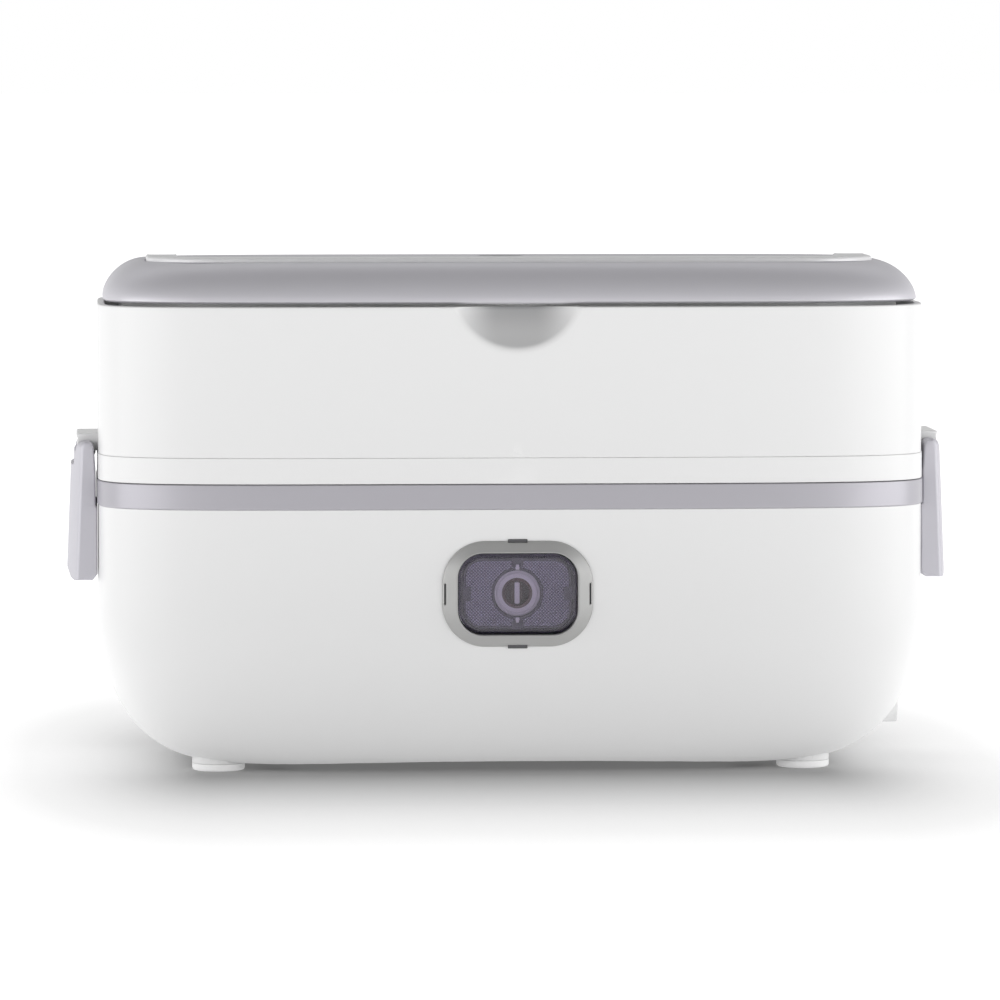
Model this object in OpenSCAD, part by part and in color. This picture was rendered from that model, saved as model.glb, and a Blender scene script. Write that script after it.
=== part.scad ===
// Two-tier electric lunch box: heated base, upper food tier, hinged lid with a
// flat folding handle, two side latches and a loose inner bowl.
// Millimetres, +Z up, front faces -Y, origin on the table under the middle of the box.

/* [Body] */
// Width over the side walls of the base and the tier
body_w = 235; // [231:0.5:239]
// Depth over the front and rear walls of the base and the tier
body_d = 108; // [106:0.5:110]
// Roundness of the plan outline: higher is squarer
plan_power = 5.5; // [5:0.1:6]
// Wall of the white shells
wall = 2.2; // [2:0.1:2.4]
// How far the side wall of the base curves in under the box
under_x = 36; // [34:1:38]
// How far the front wall of the base curves in under the box
under_y = 20; // [17:1:21]

/* [Heights] */
// Underside of the base shell above the table
shell_z = 2.0; // [1.9:0.1:2.1]
// Rise of the arch in the middle of the underside
arch_rise = 1.3; // [0.5:0.1:1.4]
// Lower edge of the grey band
band_z0 = 75.7; // [75.4:0.1:76]
// Upper edge of the lid's flat top
lid_top = 144.6; // [144.3:0.1:145]

/* [Switch] */
// Width of the clear button
lens_w = 33.2; // [31:0.1:33.4]
// Height of the clear button
lens_h = 22.4; // [20:0.1:22.6]
// Height of the switch centre above the table
switch_z = 52; // [50:0.5:54]

/* [Latches] */
// Width of a latch along the side wall
latch_w = 44; // [38:1:50]
// Height of the latch pivot above the table
pivot_z = 90.6; // [90.4:0.1:90.9]

/* [Handle] */
// Outside width of the folding handle
handle_w = 207; // [204:0.5:207]
// Height of the folded handle above the lid top
handle_proud = 1.3; // [1:0.1:1.5]

/* [Hidden] */
$fn = 64;
NP = 72;                          // points round a plan outline
hw = body_w / 2;
hd = body_d / 2;
under_z = 44;                     // height of the curve under the side wall
band_z1 = band_z0 + 7.1;          // top of the grey band
skirt_z0 = band_z1 + 0.15;
skirt_z1 = 90.2;                  // parting line between skirt and tier wall
tier_z1 = 132.6;
lid_z0 = 133.4;
pan_x = hw - 14.5;                // half length of the heating pan
pan_y = hd - 13;
pan_z0 = 37.4;
flange_z = 79.6;
pivot_x = hw + 3.2;               // latch pivot from the middle
pivot_r = 2.7;
hinge_y = hd + 1.4;               // lid hinge axis
hinge_z = 134.2;
hinge_r = 2.6;
front = -hd;
hh = handle_w / 2;
handle_z1 = lid_top + handle_proud;
handle_pz = 143.0;                // handle pivot height
wire_r = 1.1;

// ---------- outlines and lofts ----------
function spow(v, e) = sign(v) * pow(abs(v), e);
// soft rectangle with half sizes a, b and power n
function outline(a, b, n) = [for (i = [0:NP-1]) let(t = 360*i/NP)
  [a*spow(cos(t), 2/n), b*spow(sin(t), 2/n)]];
function at_z(pts, z) = [for (p = pts) [p[0], p[1], z]];
module soft2d(a, b, n = plan_power) polygon(outline(a, b, n));

// closed solid through a list of rings with equal point counts, bottom ring first
module loft(rings) {
  n = len(rings[0]);
  m = len(rings);
  polyhedron(
    points = [for (r = rings) for (p = r) p],
    faces = concat(
      [[for (i = [0:n-1]) i]],
      [for (j = [0:m-2]) for (i = [0:n-1]) let(a = j*n+i, b = j*n+(i+1)%n) [a, a+n, b]],
      [for (j = [0:m-2]) for (i = [0:n-1]) let(a = j*n+i, b = j*n+(i+1)%n) [b, a+n, b+n]],
      [[for (i = [n-1:-1:0]) (m-1)*n+i]]),
    convexity = 6);
}

module rr2d(hx, hy, r) {
  square([2*(hx-r), 2*hy], center = true);
  square([2*hx, 2*(hy-r)], center = true);
  for (sx = [-1, 1], sy = [-1, 1]) translate([sx*(hx-r), sy*(hy-r)]) circle(r);
}
module slab(z0, z1) translate([0, 0, z0]) linear_extrude(z1 - z0) children();
// extrudes a drawing made in X and Z from y0 to y1
module slab_y(y0, y1) translate([0, y1, 0]) rotate([90, 0, 0]) linear_extrude(y1 - y0) children();
// extrudes a drawing made in Y and Z from x0 to x1
module slab_x(x0, x1) translate([x0, 0, 0]) rotate([90, 0, 90]) linear_extrude(x1 - x0) children();

// rounded box with a rounded lower edge of radius rb
module edge2d(h, hgt, rb) {
  translate([-h, rb]) square([2*h, hgt-rb]);
  translate([-(h-rb), 0]) square([2*(h-rb), rb+0.01]);
  for (s = [-1, 1]) translate([s*(h-rb), rb]) circle(rb);
}
module rbox(hx, hy, r, z0, z1, rb) {
  h = z1 - z0;
  translate([0, 0, z0]) {
    for (sx = [-1, 1], sy = [-1, 1]) translate([sx*(hx-r), sy*(hy-r), 0])
      rotate_extrude() intersection() { edge2d(r, h, rb); translate([0, -1]) square([r+1, h+2]); }
    translate([-(hx-r), 0, 0]) rotate([90, 0, 90]) linear_extrude(2*(hx-r)) edge2d(hy, h, rb);
    translate([0, hy-r, 0]) rotate([90, 0, 0]) linear_extrude(2*(hy-r)) edge2d(hx, h, rb);
  }
}
// pressed tray: outside half sizes, sheet t, flange of width fl
module tray(hx, hy, r, z0, z1, rb, t, fl) {
  difference() {
    union() {
      rbox(hx, hy, r, z0, z1, rb);
      slab(z1-t, z1) rr2d(hx+fl, hy+fl, r+fl);
    }
    rbox(hx-t, hy-t, r-t, z0+t, z1+1, rb-t);
  }
}
module ring2d(hx, hy, r, t) difference() { rr2d(hx, hy, r); rr2d(hx-t, hy-t, r-t); }

// smooth curve through hand-placed points, and a round tube along it
function cr(p0, p1, p2, p3, t) = 0.5*((2*p1) + (p2-p0)*t + (2*p0-5*p1+4*p2-p3)*t*t + (3*p1-p0-3*p2+p3)*t*t*t);
function smooth(p, k) = concat([for (i = [0:len(p)-2]) for (j = [0:k-1])
  cr(p[max(i-1, 0)], p[i], p[i+1], p[min(i+2, len(p)-1)], j/k)], [p[len(p)-1]]);
function unit(v) = v / max(norm(v), 1e-9);
function tangent(p, i) = unit(p[min(i+1, len(p)-1)] - p[max(i-1, 0)]);
module tube(path, r, sides = 8) {
  up = [0.13, 0.21, 0.97];
  loft([for (i = [0:len(path)-1]) let(t = tangent(path, i), u = unit(cross(t, up)), v = cross(t, u))
    [for (k = [0:sides-1]) path[i] + r*(cos(360*k/sides)*u + sin(360*k/sides)*v)]]);
}

// ---------- base ----------
function cc(phi, p) = pow(max(cos(phi), 0), 2/p);
function ss(phi, p) = pow(max(sin(phi), 0), 2/p);
PB = 2.25;
function base_ring(phi, off, z0) = let(c = cc(phi, PB), s = ss(phi, PB))
  at_z(outline(hw - under_x*(1-c) - off, hd - under_y*(1-c) - off, 4.2 + (plan_power-4.2)*c),
    z0 + (shell_z + under_z - z0)*(1-s));
base_phi = [90, 82, 73, 64, 55, 46, 37, 28, 19, 10, 0];
module base_outer(off = 0, z0 = shell_z, top = band_z0)
  loft(concat([for (f = base_phi) base_ring(f, off, z0)],
    [at_z(outline(hw-off, hd-off, plan_power), top)]));

foot_x = 83.5; foot_y = 25; foot_r = 7.5;
screw_x = 67.4; screw_y = 23.4;
in_x = 112; in_w = 17; in_z0 = 11.4; in_z1 = 39; in_zc = 25.6; // inlet face
module inlet_boss(x0, x1) intersection() {
  slab_x(x0, x1) inlet_plan2d();
  translate([80, -30, 0]) cube([60, 60, 36.9]);
}
module inlet_plan2d(g = 0) translate([0, (in_z0+in_z1)/2]) rr2d(in_w-g, (in_z1-in_z0)/2-g, 3.5);

module base_shell() color([0.95, 0.95, 0.95]) difference() {
  union() {
    difference() {
      base_outer();
      base_outer(wall, shell_z + 2.4, band_z0 + 1);
    }
    intersection() {
      base_outer();
      union() {
        slab(shell_z, 7.4) rr2d(75, 31, 10);
        slab_x(104, 120) inlet_plan2d();
        inlet_boss(90, 104);
      }
    }
    // boss that carries the power inlet out through the curved wall
    inlet_boss(98, in_x);
    for (sx = [-1, 1], sy = [-1, 1]) {
      translate([sx*foot_x, sy*foot_y, 2]) cylinder(r = foot_r, h = 4.6);
      translate([sx*screw_x, sy*screw_y, 5.4]) cylinder(r = 4, h = 8.6);
    }
  }
  // shallow arch along the underside
  translate([0, 0, shell_z + arch_rise - 1995]) rotate([90, 0, 0])
    cylinder(r = 1995, h = 60, center = true, $fn = 720);
  slab(0, 5.4) rr2d(72.2, 28.2, 8);
  slab(0, 9) rr2d(64, 21, 6);
  // inlet face and opening
  slab_x(in_x, 125) inlet_plan2d();
  slab_x(80, 125) translate([0, in_zc]) square([27.2, 20.2], center = true);
  slab_x(80, in_x-3) translate([0, in_zc]) square([29, 22], center = true);
  // switch opening in the front wall
  slab_y(front - 3, front + wall + 2) translate([0, switch_z]) rr2d(lens_w/2 + 3, lens_h/2 + 2, 8);
  for (sx = [-1, 1], sy = [-1, 1]) {
    translate([sx*foot_x, sy*foot_y, 1]) cylinder(r = 2.5, h = 3.2);
    translate([sx*screw_x, sy*screw_y, 4]) cylinder(r = 1.4, h = 9);
  }
}

module rim_band() color([0.72, 0.71, 0.74]) difference() {
  union() {
    slab(band_z0, band_z1) soft2d(hw+0.4, hd+0.4);
    slab(band_z0-4.7, band_z0) soft2d(hw-wall-0.2, hd-wall-0.2);
  }
  slab(band_z0-5, band_z0) soft2d(hw-wall-2.2, hd-wall-2.2);
  slab(band_z0-5, band_z1+1) rr2d(pan_x+0.6, pan_y+0.6, 24.6);
  slab(78.8, band_z1+1) rr2d(pan_x+5.4, pan_y+5.4, 29.4);
}

module bottom_cover() color([0.86, 0.86, 0.87]) difference() {
  slab(3.9, 5.4) rr2d(72, 28, 7.8);
  for (sx = [-1, 1], sy = [-1, 1]) translate([sx*screw_x, sy*screw_y, 3]) cylinder(r = 1.7, h = 4);
}

module foot_pads() color([0.9, 0.9, 0.9]) for (sx = [-1, 1], sy = [-1, 1])
  translate([sx*foot_x, sy*foot_y, 0]) rotate_extrude() {
    translate([0, 0.8]) square([foot_r, 1.2]);
    square([foot_r-0.8, 1]);
    intersection() { translate([foot_r-0.8, 0.8]) circle(0.8); square([foot_r, 2]); }
    square([2.35, 3.9]);
  }

module pan_head(l, r, hr, hh2) { cylinder(r = hr, h = hh2); cylinder(r = r, h = l + hh2); }
module cover_screws() color([0.6, 0.6, 0.62]) for (sx = [-1, 1], sy = [-1, 1])
  translate([sx*screw_x, sy*screw_y, 2.5]) difference() {
    pan_head(8.5, 1.25, 2.7, 1.4);
    for (a = [0, 90]) rotate([0, 0, a]) translate([-1.6, -0.35, -0.1]) cube([3.2, 0.7, 1]);
  }

module heating_pan() color([0.78, 0.79, 0.8]) tray(pan_x, pan_y, 24, pan_z0, flange_z+0.6, 6, 0.6, 5);

module pan_gasket() color([0.85, 0.85, 0.85]) slab(78.8, flange_z) difference() {
  rr2d(pan_x+5, pan_y+5, 29); rr2d(pan_x+0.7, pan_y+0.7, 24.7);
}

module heat_spreader() color([0.7, 0.71, 0.72]) difference() {
  slab(pan_z0-3, pan_z0) rr2d(75, 28, 6);
  for (s = [-1, 1]) translate([s*41, 0, pan_z0-3.1]) cylinder(r = 1.2, h = 2.6);
}
module ptc_heater() color([0.35, 0.33, 0.32]) {
  translate([-30, -15, pan_z0-8]) cube([60, 30, 5]);
  for (s = [-1, 1]) translate([s*8-3, 15, pan_z0-6]) cube([6, 5, 0.8]);
}
module heater_clamp() color([0.75, 0.75, 0.77]) difference() {
  union() {
    translate([-46, -6, pan_z0-9.2]) cube([92, 12, 1.2]);
    for (s = [-1, 1]) translate([s*41-5, -6, pan_z0-8.0]) cube([10, 12, 5]);
  }
  for (s = [-1, 1]) translate([s*41, 0, pan_z0-10]) cylinder(r = 1.6, h = 9);
}
module clamp_screws() color([0.6, 0.6, 0.62]) for (s = [-1, 1])
  translate([s*41, 0, pan_z0-11]) pan_head(8.5, 1.1, 2.9, 1.8);
module thermostat() color([0.2, 0.2, 0.21]) translate([-60, 0, 0]) {
  translate([0, 0, pan_z0-10]) cylinder(r = 8, h = 7);
  translate([0, 0, pan_z0-15]) cylinder(r = 6.2, h = 5);
  for (s = [-1, 1]) translate([-2.4, s*9-2, pan_z0-13]) cube([4.8, 4, 0.8]);
  translate([-3, -7.5, pan_z0-13.1]) cube([6, 15, 1]);
}
module thermal_fuse() color([0.85, 0.8, 0.7]) translate([60, 0, pan_z0-5]) {
  rotate([90, 0, 0]) cylinder(r = 2, h = 14, center = true);
  rotate([90, 0, 0]) cylinder(r = 0.6, h = 26, center = true);
}

// ---------- inlet ----------
module inlet_socket() color([0.12, 0.12, 0.13]) difference() {
  slab_x(90, in_x) translate([0, in_zc]) square([27, 20], center = true);
  // shrouded well with two cut corners
  slab_x(94, in_x+1) translate([0, in_zc]) polygon([[-12, -7.8], [12, -7.8], [12, 3.2], [8, 7.8], [-8, 7.8], [-12, 3.2]]);
  for (p = [[0, 4.2], [-7, -2], [7, -2]]) slab_x(88, 95) translate([p[0], in_zc+p[1]]) square([2, 4], center = true);
}
module inlet_pins() color([0.85, 0.8, 0.6])
  for (p = [[0, 4.2], [-7, -2], [7, -2]]) slab_x(84, 110) translate([p[0], in_zc+p[1]]) square([2, 4], center = true);

// ---------- switch ----------
lx = lens_w/2; lz = lens_h/2;
module sw2d(hx, hz, r) translate([0, switch_z]) rr2d(hx, hz, r);
module switch_bezel() color([0.66, 0.66, 0.66]) difference() {
  union() {
    slab_y(front-1.2, front) sw2d(lx+4.65, lz+3.7, 12.2);
    slab_y(front, front+4.5) sw2d(lx+2.8, lz+1.8, 7.8);
  }
  slab_y(front-2, front+5) sw2d(lx+0.3, lz+0.3, 7.1);
  // snap windows at the middle of each side
  for (s = [-1, 1]) {
    translate([-2.8, front-2, switch_z + s*(lz+3.7) - 0.5]) cube([5.6, 1.6, 1]);
    translate([s*(lx+4.65) - 0.9 - s*0.5, front-2, switch_z-3]) cube([1, 1.6, 6]);
  }
}
module switch_carrier() color([0.25, 0.25, 0.26]) slab_y(front+2.9, front+10) translate([0, switch_z])
  difference() { rr2d(lx+5, lz+4, 5); rr2d(lx+3.1, lz+2.1, 4); }
module switch_board() color([0.15, 0.4, 0.25]) slab_y(front+8.5, front+9.9) translate([0, switch_z])
  rr2d(lx+3, lz+2, 3.9);
module push_switch() color([0.15, 0.15, 0.16]) difference() {
  slab_y(front+4.2, front+8.5) translate([10.9, switch_z]) square([8.4, 8.4], center = true);
  translate([10.9, front+4.1, switch_z]) rotate([-90, 0, 0]) cylinder(r = 1.7, h = 3.2);
}
module lamp_ring() color([0.85, 0.83, 0.86]) difference() {
  translate([0, front+2.9, switch_z]) rotate([-90, 0, 0]) cylinder(r = 6.4, h = 5.6);
  translate([0, front+2, switch_z]) rotate([-90, 0, 0]) cylinder(r = 4.3, h = 7);
}
module indicator_lamp() color([0.9, 0.6, 0.4]) {
  translate([0, front+5.6, switch_z-3.2]) cylinder(r = 1.5, h = 6.4);
  translate([0, front+5.6, switch_z-3.2]) sphere(r = 0.9);
  for (s = [-1, 1]) translate([s*0.7, front+5.6, switch_z]) rotate([-90, 0, 0]) cylinder(r = 0.3, h = 2.9);
}
module switch_lens() color([0.45, 0.43, 0.5, 0.6]) {
  slab_y(front-1.0, front+1.0) sw2d(lx, lz, 6.8);
  slab_y(front+1.0, front+3.2) difference() { sw2d(lx, lz, 6.8); sw2d(lx-1.2, lz-1.2, 5.6); }
}
module switch_diffuser() color([0.6, 0.58, 0.65]) {
  difference() {
    slab_y(front+1.1, front+2.1) sw2d(lx-1.3, lz-1.3, 5.5);
    translate([0, front, switch_z]) rotate([-90, 0, 0]) cylinder(r = 6.9, h = 4);
  }
  translate([10.9, front+2.1, switch_z]) rotate([-90, 0, 0]) cylinder(r = 1.5, h = 3);
}

// ---------- leads inside the base ----------
module live_wire() color([0.5, 0.3, 0.2])
  tube(smooth([[83.6, -7, 23.6], [80, -7.3, 23.2], [76, -10.5, 21], [66, -16, 18], [40, -21, 17], [0, -22, 17], [-36, -19, 18], [-52, -14, 21], [-60, -12.2, 22.6]], 3), wire_r);
module neutral_wire() color([0.2, 0.3, 0.6])
  tube(smooth([[83.6, 7, 23.6], [80, 7.2, 23.2], [76, 10.5, 21.4], [72, 14, 22], [64, 16, 26], [60, 14.4, 31]], 3), wire_r);
module earth_wire() color([0.3, 0.6, 0.2])
  tube(smooth([[83.6, 0, 29.8], [80.4, 0.2, 29.4], [77.5, 1.5, 26], [72, 3, 20], [62, 6, 17], [52, 5, 18.4], [46, 1, 21], [42, 0, 24]], 3), wire_r);
module switch_wire() color([0.85, 0.85, 0.85])
  tube(smooth([[-60, 12.2, 22.6], [-66, 16, 20], [-72, 10, 17], [-70, -12, 17], [-58, -30, 20], [-38, -38, 27], [-22, -41, 31.5], [-13, -42.6, 36], [-10, -42.8, 40.5], [-10, -42.8, 44.5]], 3), wire_r);

// ---------- upper tier ----------
scoop_rs = 37.65; scoop_y = front - 32.5; scoop_z = tier_z1 + 6.7;
module latch_knuckle2d() {
  // drawn in X and Z for the right side
  translate([pivot_x, pivot_z]) circle(pivot_r);
  translate([pivot_x-pivot_r+0.03, pivot_z]) square([2*pivot_r-0.06, 4]);
  translate([hw-1, skirt_z1]) square([pivot_x-hw+1, 5]);
  translate([hw+0.6, pivot_z-2]) square([pivot_x-hw-0.6, 3]);
}
module tier_bracket() {
  difference() {
    union() {
      slab_y(-12, 12) {
        latch_knuckle2d();
        // small cap over the pivot
        translate([hw-1, 93.9]) square([6.4, 1.4]);
        translate([hw+5.4, 94.6]) circle(0.7);
      }
    }
    translate([pivot_x, 0, pivot_z]) rotate([90, 0, 0]) cylinder(r = 1.05, h = 60, center = true);
  }
}
module hinge_ear2d() {
  translate([hinge_y, hinge_z]) circle(hinge_r);
  polygon([[hinge_y-hinge_r, hinge_z], [hinge_y+hinge_r, hinge_z], [hinge_y+hinge_r, 128], [hd-1.2, 121], [hd-1.2, 132], [hinge_y-hinge_r, 132.6]]);
}
module tier_shell() color([0.95, 0.95, 0.95]) difference() {
  union() {
    difference() {
      slab(skirt_z1, tier_z1) soft2d(hw, hd);
      slab(skirt_z1-1, tier_z1+1) soft2d(hw-wall, hd-wall);
    }
    // ledge for the liner
    difference() {
      slab(125.4, 127) soft2d(hw-1, hd-1);
      slab(125, 128) rr2d(pan_x+3.9, pan_y+3.9, 25.4);
    }
    // back of the finger scoop
    intersection() {
      slab(116, tier_z1) soft2d(hw-0.5, hd-0.5);
      translate([0, scoop_y, scoop_z]) sphere(r = scoop_rs + 1.6, $fn = 96);
    }
    for (s = [0, 1]) mirror([s, 0, 0]) {
      tier_bracket();
      for (x = [50, 70]) slab_x(x, x+6) hinge_ear2d();
    }
  }
  translate([0, scoop_y, scoop_z]) sphere(r = scoop_rs, $fn = 96);
  for (s = [0, 1]) mirror([s, 0, 0]) {
    // room for the lid's knuckles
    translate([56, hinge_y, hinge_z]) rotate([0, 90, 0]) cylinder(r = hinge_r + 0.3, h = 14);
    translate([49, hinge_y, hinge_z]) rotate([0, 90, 0]) cylinder(r = 1.4, h = 28);
  }
}
module tier_skirt() color([0.95, 0.95, 0.95]) {
  difference() {
    union() {
      slab(skirt_z0, skirt_z1) soft2d(hw+0.2, hd+0.2);
      slab(skirt_z1, 93) soft2d(hw-wall-0.4, hd-wall-0.4);
    }
    slab(skirt_z0-1, 85) soft2d(hw-wall, hd-wall);
    slab(86.6, 94) soft2d(hw-wall-2, hd-wall-2);
    slab(80, 94) rr2d(pan_x+0.5, pan_y+0.5, 25);
  }
}
module tier_liner() color([0.8, 0.81, 0.82]) difference() {
  tray(pan_x+3.5, pan_y+3.5, 25, 91.4, 127.6, 7, 0.6, 4);
  // steam holes
  for (i = [-4:4], j = [-1, 1]) translate([i*19, j*13, 90]) cylinder(r = 1.6, h = 4, $fn = 24);
  for (i = [-3.5:3.5]) translate([i*19, 0, 90]) cylinder(r = 1.6, h = 4, $fn = 24);
}
module tier_seal() color([0.88, 0.88, 0.9]) slab(80.5, 85) ring2d(pan_x+4.6, pan_y+4.6, 28.6, 2.4);
module latch_pins() color([0.7, 0.7, 0.72]) for (s = [-1, 1])
  translate([s*pivot_x, 21.3, pivot_z]) rotate([90, 0, 0]) cylinder(r = 1, h = 41);
module lid_hinge_pins() color([0.7, 0.7, 0.72]) for (s = [0, 1]) mirror([s, 0, 0])
  translate([50, hinge_y, hinge_z]) rotate([0, 90, 0]) cylinder(r = 1.4, h = 26);

// ---------- lid ----------
PL = 1.7;
lid_a = hw - 1.5; lid_b = hd - 1.5; lid_in = 11; lid_zs = 134.0;
function lid_ring(phi) = let(c = cc(phi, PL), s = ss(phi, PL))
  at_z(outline(lid_a - lid_in*(1-c), lid_b - lid_in*(1-c), 4.6 + (plan_power-4.6)*c), lid_zs + (lid_top-lid_zs)*s);
module lid_outer() loft(concat(
  [at_z(outline(lid_a-0.6, lid_b-0.6, plan_power), lid_z0)],
  [for (f = [0, 12, 24, 36, 48, 60, 70, 80, 90]) lid_ring(f)]));
module u_outer2d(w, yf, yb, r) intersection() {
  union() {
    translate([-w, yf+r]) square([2*w, yb-yf-r]);
    translate([-(w-r), yf]) square([2*(w-r), r+1]);
    for (s = [-1, 1]) translate([s*(w-r), yf+r]) circle(r);
  }
  translate([-w-1, yf-1]) square([2*w+2, yb-yf+1]);
}
valve_y = 27;
module lid_shell() color([0.74, 0.73, 0.76]) difference() {
  union() {
    lid_outer();
    for (s = [0, 1]) mirror([s, 0, 0]) slab_x(56.3, 69.7) {
      translate([hinge_y, hinge_z]) circle(hinge_r);
      translate([hd-4, hinge_z]) square([hinge_y-hd+4, hinge_r]);
    }
  }
  slab(132, 137) soft2d(lid_a-2.5, lid_b-2.5);
  slab(132, 137.8) soft2d(lid_a-5.5, lid_b-5.5);
  slab(137, 142.4) translate([0, -4]) rr2d(80, 16, 8);
  // recess for the folded handle
  slab(141.4, 150) difference() {
    u_outer2d(hh+0.5, -38, 3.4, 20.5);
    u_outer2d(hh-9.5, -25, 20, 10.5);
  }
  for (s = [-1, 1]) translate([s*(hh-4.5)-5, -3.6, 139.8]) cube([10, 7, 8]);
  // finger dip behind the grip
  translate([0, -26, 141.4]) slab(0, 8) rr2d(15, 8, 6);
  // valve seat
  translate([0, valve_y, 130]) cylinder(r = 4.2, h = 20);
  translate([0, valve_y, 142.6]) cylinder(r = 7, h = 8);
  for (s = [0, 1]) mirror([s, 0, 0]) {
    translate([86.5, 0, handle_pz]) rotate([0, 90, 0]) cylinder(r = 1.2, h = 10);
    translate([56, hinge_y, hinge_z]) rotate([0, 90, 0]) cylinder(r = 1.45, h = 14);
  }
}
module lid_liner() color([0.93, 0.93, 0.93]) {
  difference() {
    slab(134, 135.6) soft2d(lid_a-2.7, lid_b-2.7);
    translate([0, valve_y, 130]) cylinder(r = 4.2, h = 10);
  }
  slab(129, 134) ring2d(pan_x+7.5, pan_y+5.8, 28, 2);
}
module lid_seal() color([0.85, 0.85, 0.87]) difference() {
  slab(128, 131) ring2d(pan_x+8.3, pan_y+6.6, 28.8, 2.8);
  slab(129, 132) rr2d(pan_x+7.5, pan_y+5.8, 28);
}
module vent_valve() color([0.8, 0.8, 0.82]) translate([0, valve_y, 0]) {
  translate([0, 0, 142.7]) rotate_extrude() { square([6.7, 1.4]); square([5.9, 1.9]); }
  translate([0, 0, 133]) cylinder(r = 4.1, h = 10);
  translate([0, 0, 132.2]) cylinder(r = 6, h = 1.7);
}
module handle_pins() color([0.7, 0.7, 0.72]) for (s = [0, 1]) mirror([s, 0, 0])
  translate([86.5, 0, handle_pz]) rotate([0, 90, 0]) cylinder(r = 1.2, h = 16);
module carry_handle() color([0.8, 0.8, 0.82]) difference() {
  union() {
    slab(141.7, handle_z1) difference() {
      u_outer2d(hh, -37.5, 0, 20);
      u_outer2d(hh-9, -25.5, 1, 11);
    }
    for (s = [0, 1]) mirror([s, 0, 0])
      translate([hh-9, 0, handle_pz]) rotate([0, 90, 0]) cylinder(r = handle_z1-handle_pz-0.03, h = 9);
  }
  for (s = [0, 1]) mirror([s, 0, 0])
    translate([hh-9.1, 0, handle_pz]) rotate([0, 90, 0]) cylinder(r = 1.25, h = 8.3);
}

// ---------- latches ----------
crown_r = 91;                     // radius of the latch's crowned outer face
module latch_side2d()
  // outline in X and Z for the right side: rounded head, lever, inner step under the band
  polygon(concat([for (a = [0:9:180]) [pivot_x + (a <= 90 ? 3 : 2.1)*spow(cos(a), 0.9), pivot_z + 2.7*spow(sin(a), 0.9)]],
    [[hw+0.85, 83], [hw+0.85, 75.2], [hw+0.4, 74.4], [hw+0.4, 55.6], [hw+1.6, 53.8], [hw+7.6, 53.8],
     [hw+8.8, 56.4], [hw+9.8, 60.5], [hw+9.8, 87.2]]));
module latch() difference() {
  intersection() {
    slab_y(-latch_w/2, latch_w/2) latch_side2d();
    // crowned outer face with a rounded upper edge, leaning out towards the bottom
    translate([hw+7.5, 0, pivot_z]) rotate([0, -2.3, 0]) translate([-crown_r, 0, 0]) rotate_extrude($fn = 180)
      polygon(concat([[0, -60], [crown_r, -60]], [for (a = [0:15:90]) [crown_r-2.1+2.1*cos(a), 0.9+2.1*sin(a)]], [[0, 3]]));
  }
  translate([hw, -12.3, 86.6]) cube([12, 24.6, 10]);
  // hollow back of the finger lever
  translate([hw, -latch_w/2+3, 60]) cube([5.2, latch_w-6, 12]);
  // bore of the pin, open at the rear end only
  translate([pivot_x, 30, pivot_z]) rotate([90, 0, 0]) cylinder(r = 1.05, h = 50);
}
module latch_right() color([0.78, 0.77, 0.8]) latch();
module latch_left() color([0.78, 0.77, 0.8]) mirror([1, 0, 0]) latch();

// ---------- inner bowl ----------
module rice_bowl() color([0.8, 0.81, 0.82]) tray(94.5, 32.5, 20, 38.3, 78, 8, 0.6, 4);
module bowl_lid() color([0.9, 0.92, 0.93]) difference() {
  slab(76.8, 83.5) rr2d(100.5, 38.5, 26);
  slab(76, 79.2) rr2d(98.9, 36.9, 24.4);
  slab(79, 81.9) rr2d(93, 31, 19);
}
module bowl_lid_seal() color([0.85, 0.85, 0.85]) slab(78.3, 79.2) ring2d(98.7, 36.7, 24.2, 4);

base_shell();
rim_band();
bottom_cover();
foot_pads();
cover_screws();
heating_pan();
pan_gasket();
heat_spreader();
ptc_heater();
heater_clamp();
clamp_screws();
thermostat();
thermal_fuse();
inlet_socket();
inlet_pins();
switch_bezel();
switch_carrier();
switch_board();
push_switch();
lamp_ring();
indicator_lamp();
live_wire();
neutral_wire();
earth_wire();
switch_wire();
switch_lens();
switch_diffuser();
tier_shell();
tier_skirt();
tier_liner();
tier_seal();
latch_pins();
lid_hinge_pins();
lid_shell();
lid_liner();
lid_seal();
vent_valve();
handle_pins();
carry_handle();
latch_left();
latch_right();
rice_bowl();
bowl_lid();
bowl_lid_seal();
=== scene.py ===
import math

import bmesh
import bpy
from mathutils import Matrix, Vector
from mathutils.geometry import tessellate_polygon


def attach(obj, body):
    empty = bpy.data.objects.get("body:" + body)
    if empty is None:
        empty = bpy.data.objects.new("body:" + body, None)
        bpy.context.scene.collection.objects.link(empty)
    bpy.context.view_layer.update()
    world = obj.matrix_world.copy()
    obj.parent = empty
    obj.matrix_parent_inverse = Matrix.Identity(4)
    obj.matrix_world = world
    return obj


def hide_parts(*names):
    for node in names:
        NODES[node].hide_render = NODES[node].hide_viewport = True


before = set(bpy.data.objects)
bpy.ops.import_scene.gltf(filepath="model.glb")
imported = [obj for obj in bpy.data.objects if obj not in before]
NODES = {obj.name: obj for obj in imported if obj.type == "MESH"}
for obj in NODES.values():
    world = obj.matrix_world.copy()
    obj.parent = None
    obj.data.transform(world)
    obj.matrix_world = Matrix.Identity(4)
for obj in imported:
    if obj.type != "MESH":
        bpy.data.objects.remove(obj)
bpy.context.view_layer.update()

MM = 0.001
scene = bpy.context.scene

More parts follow.
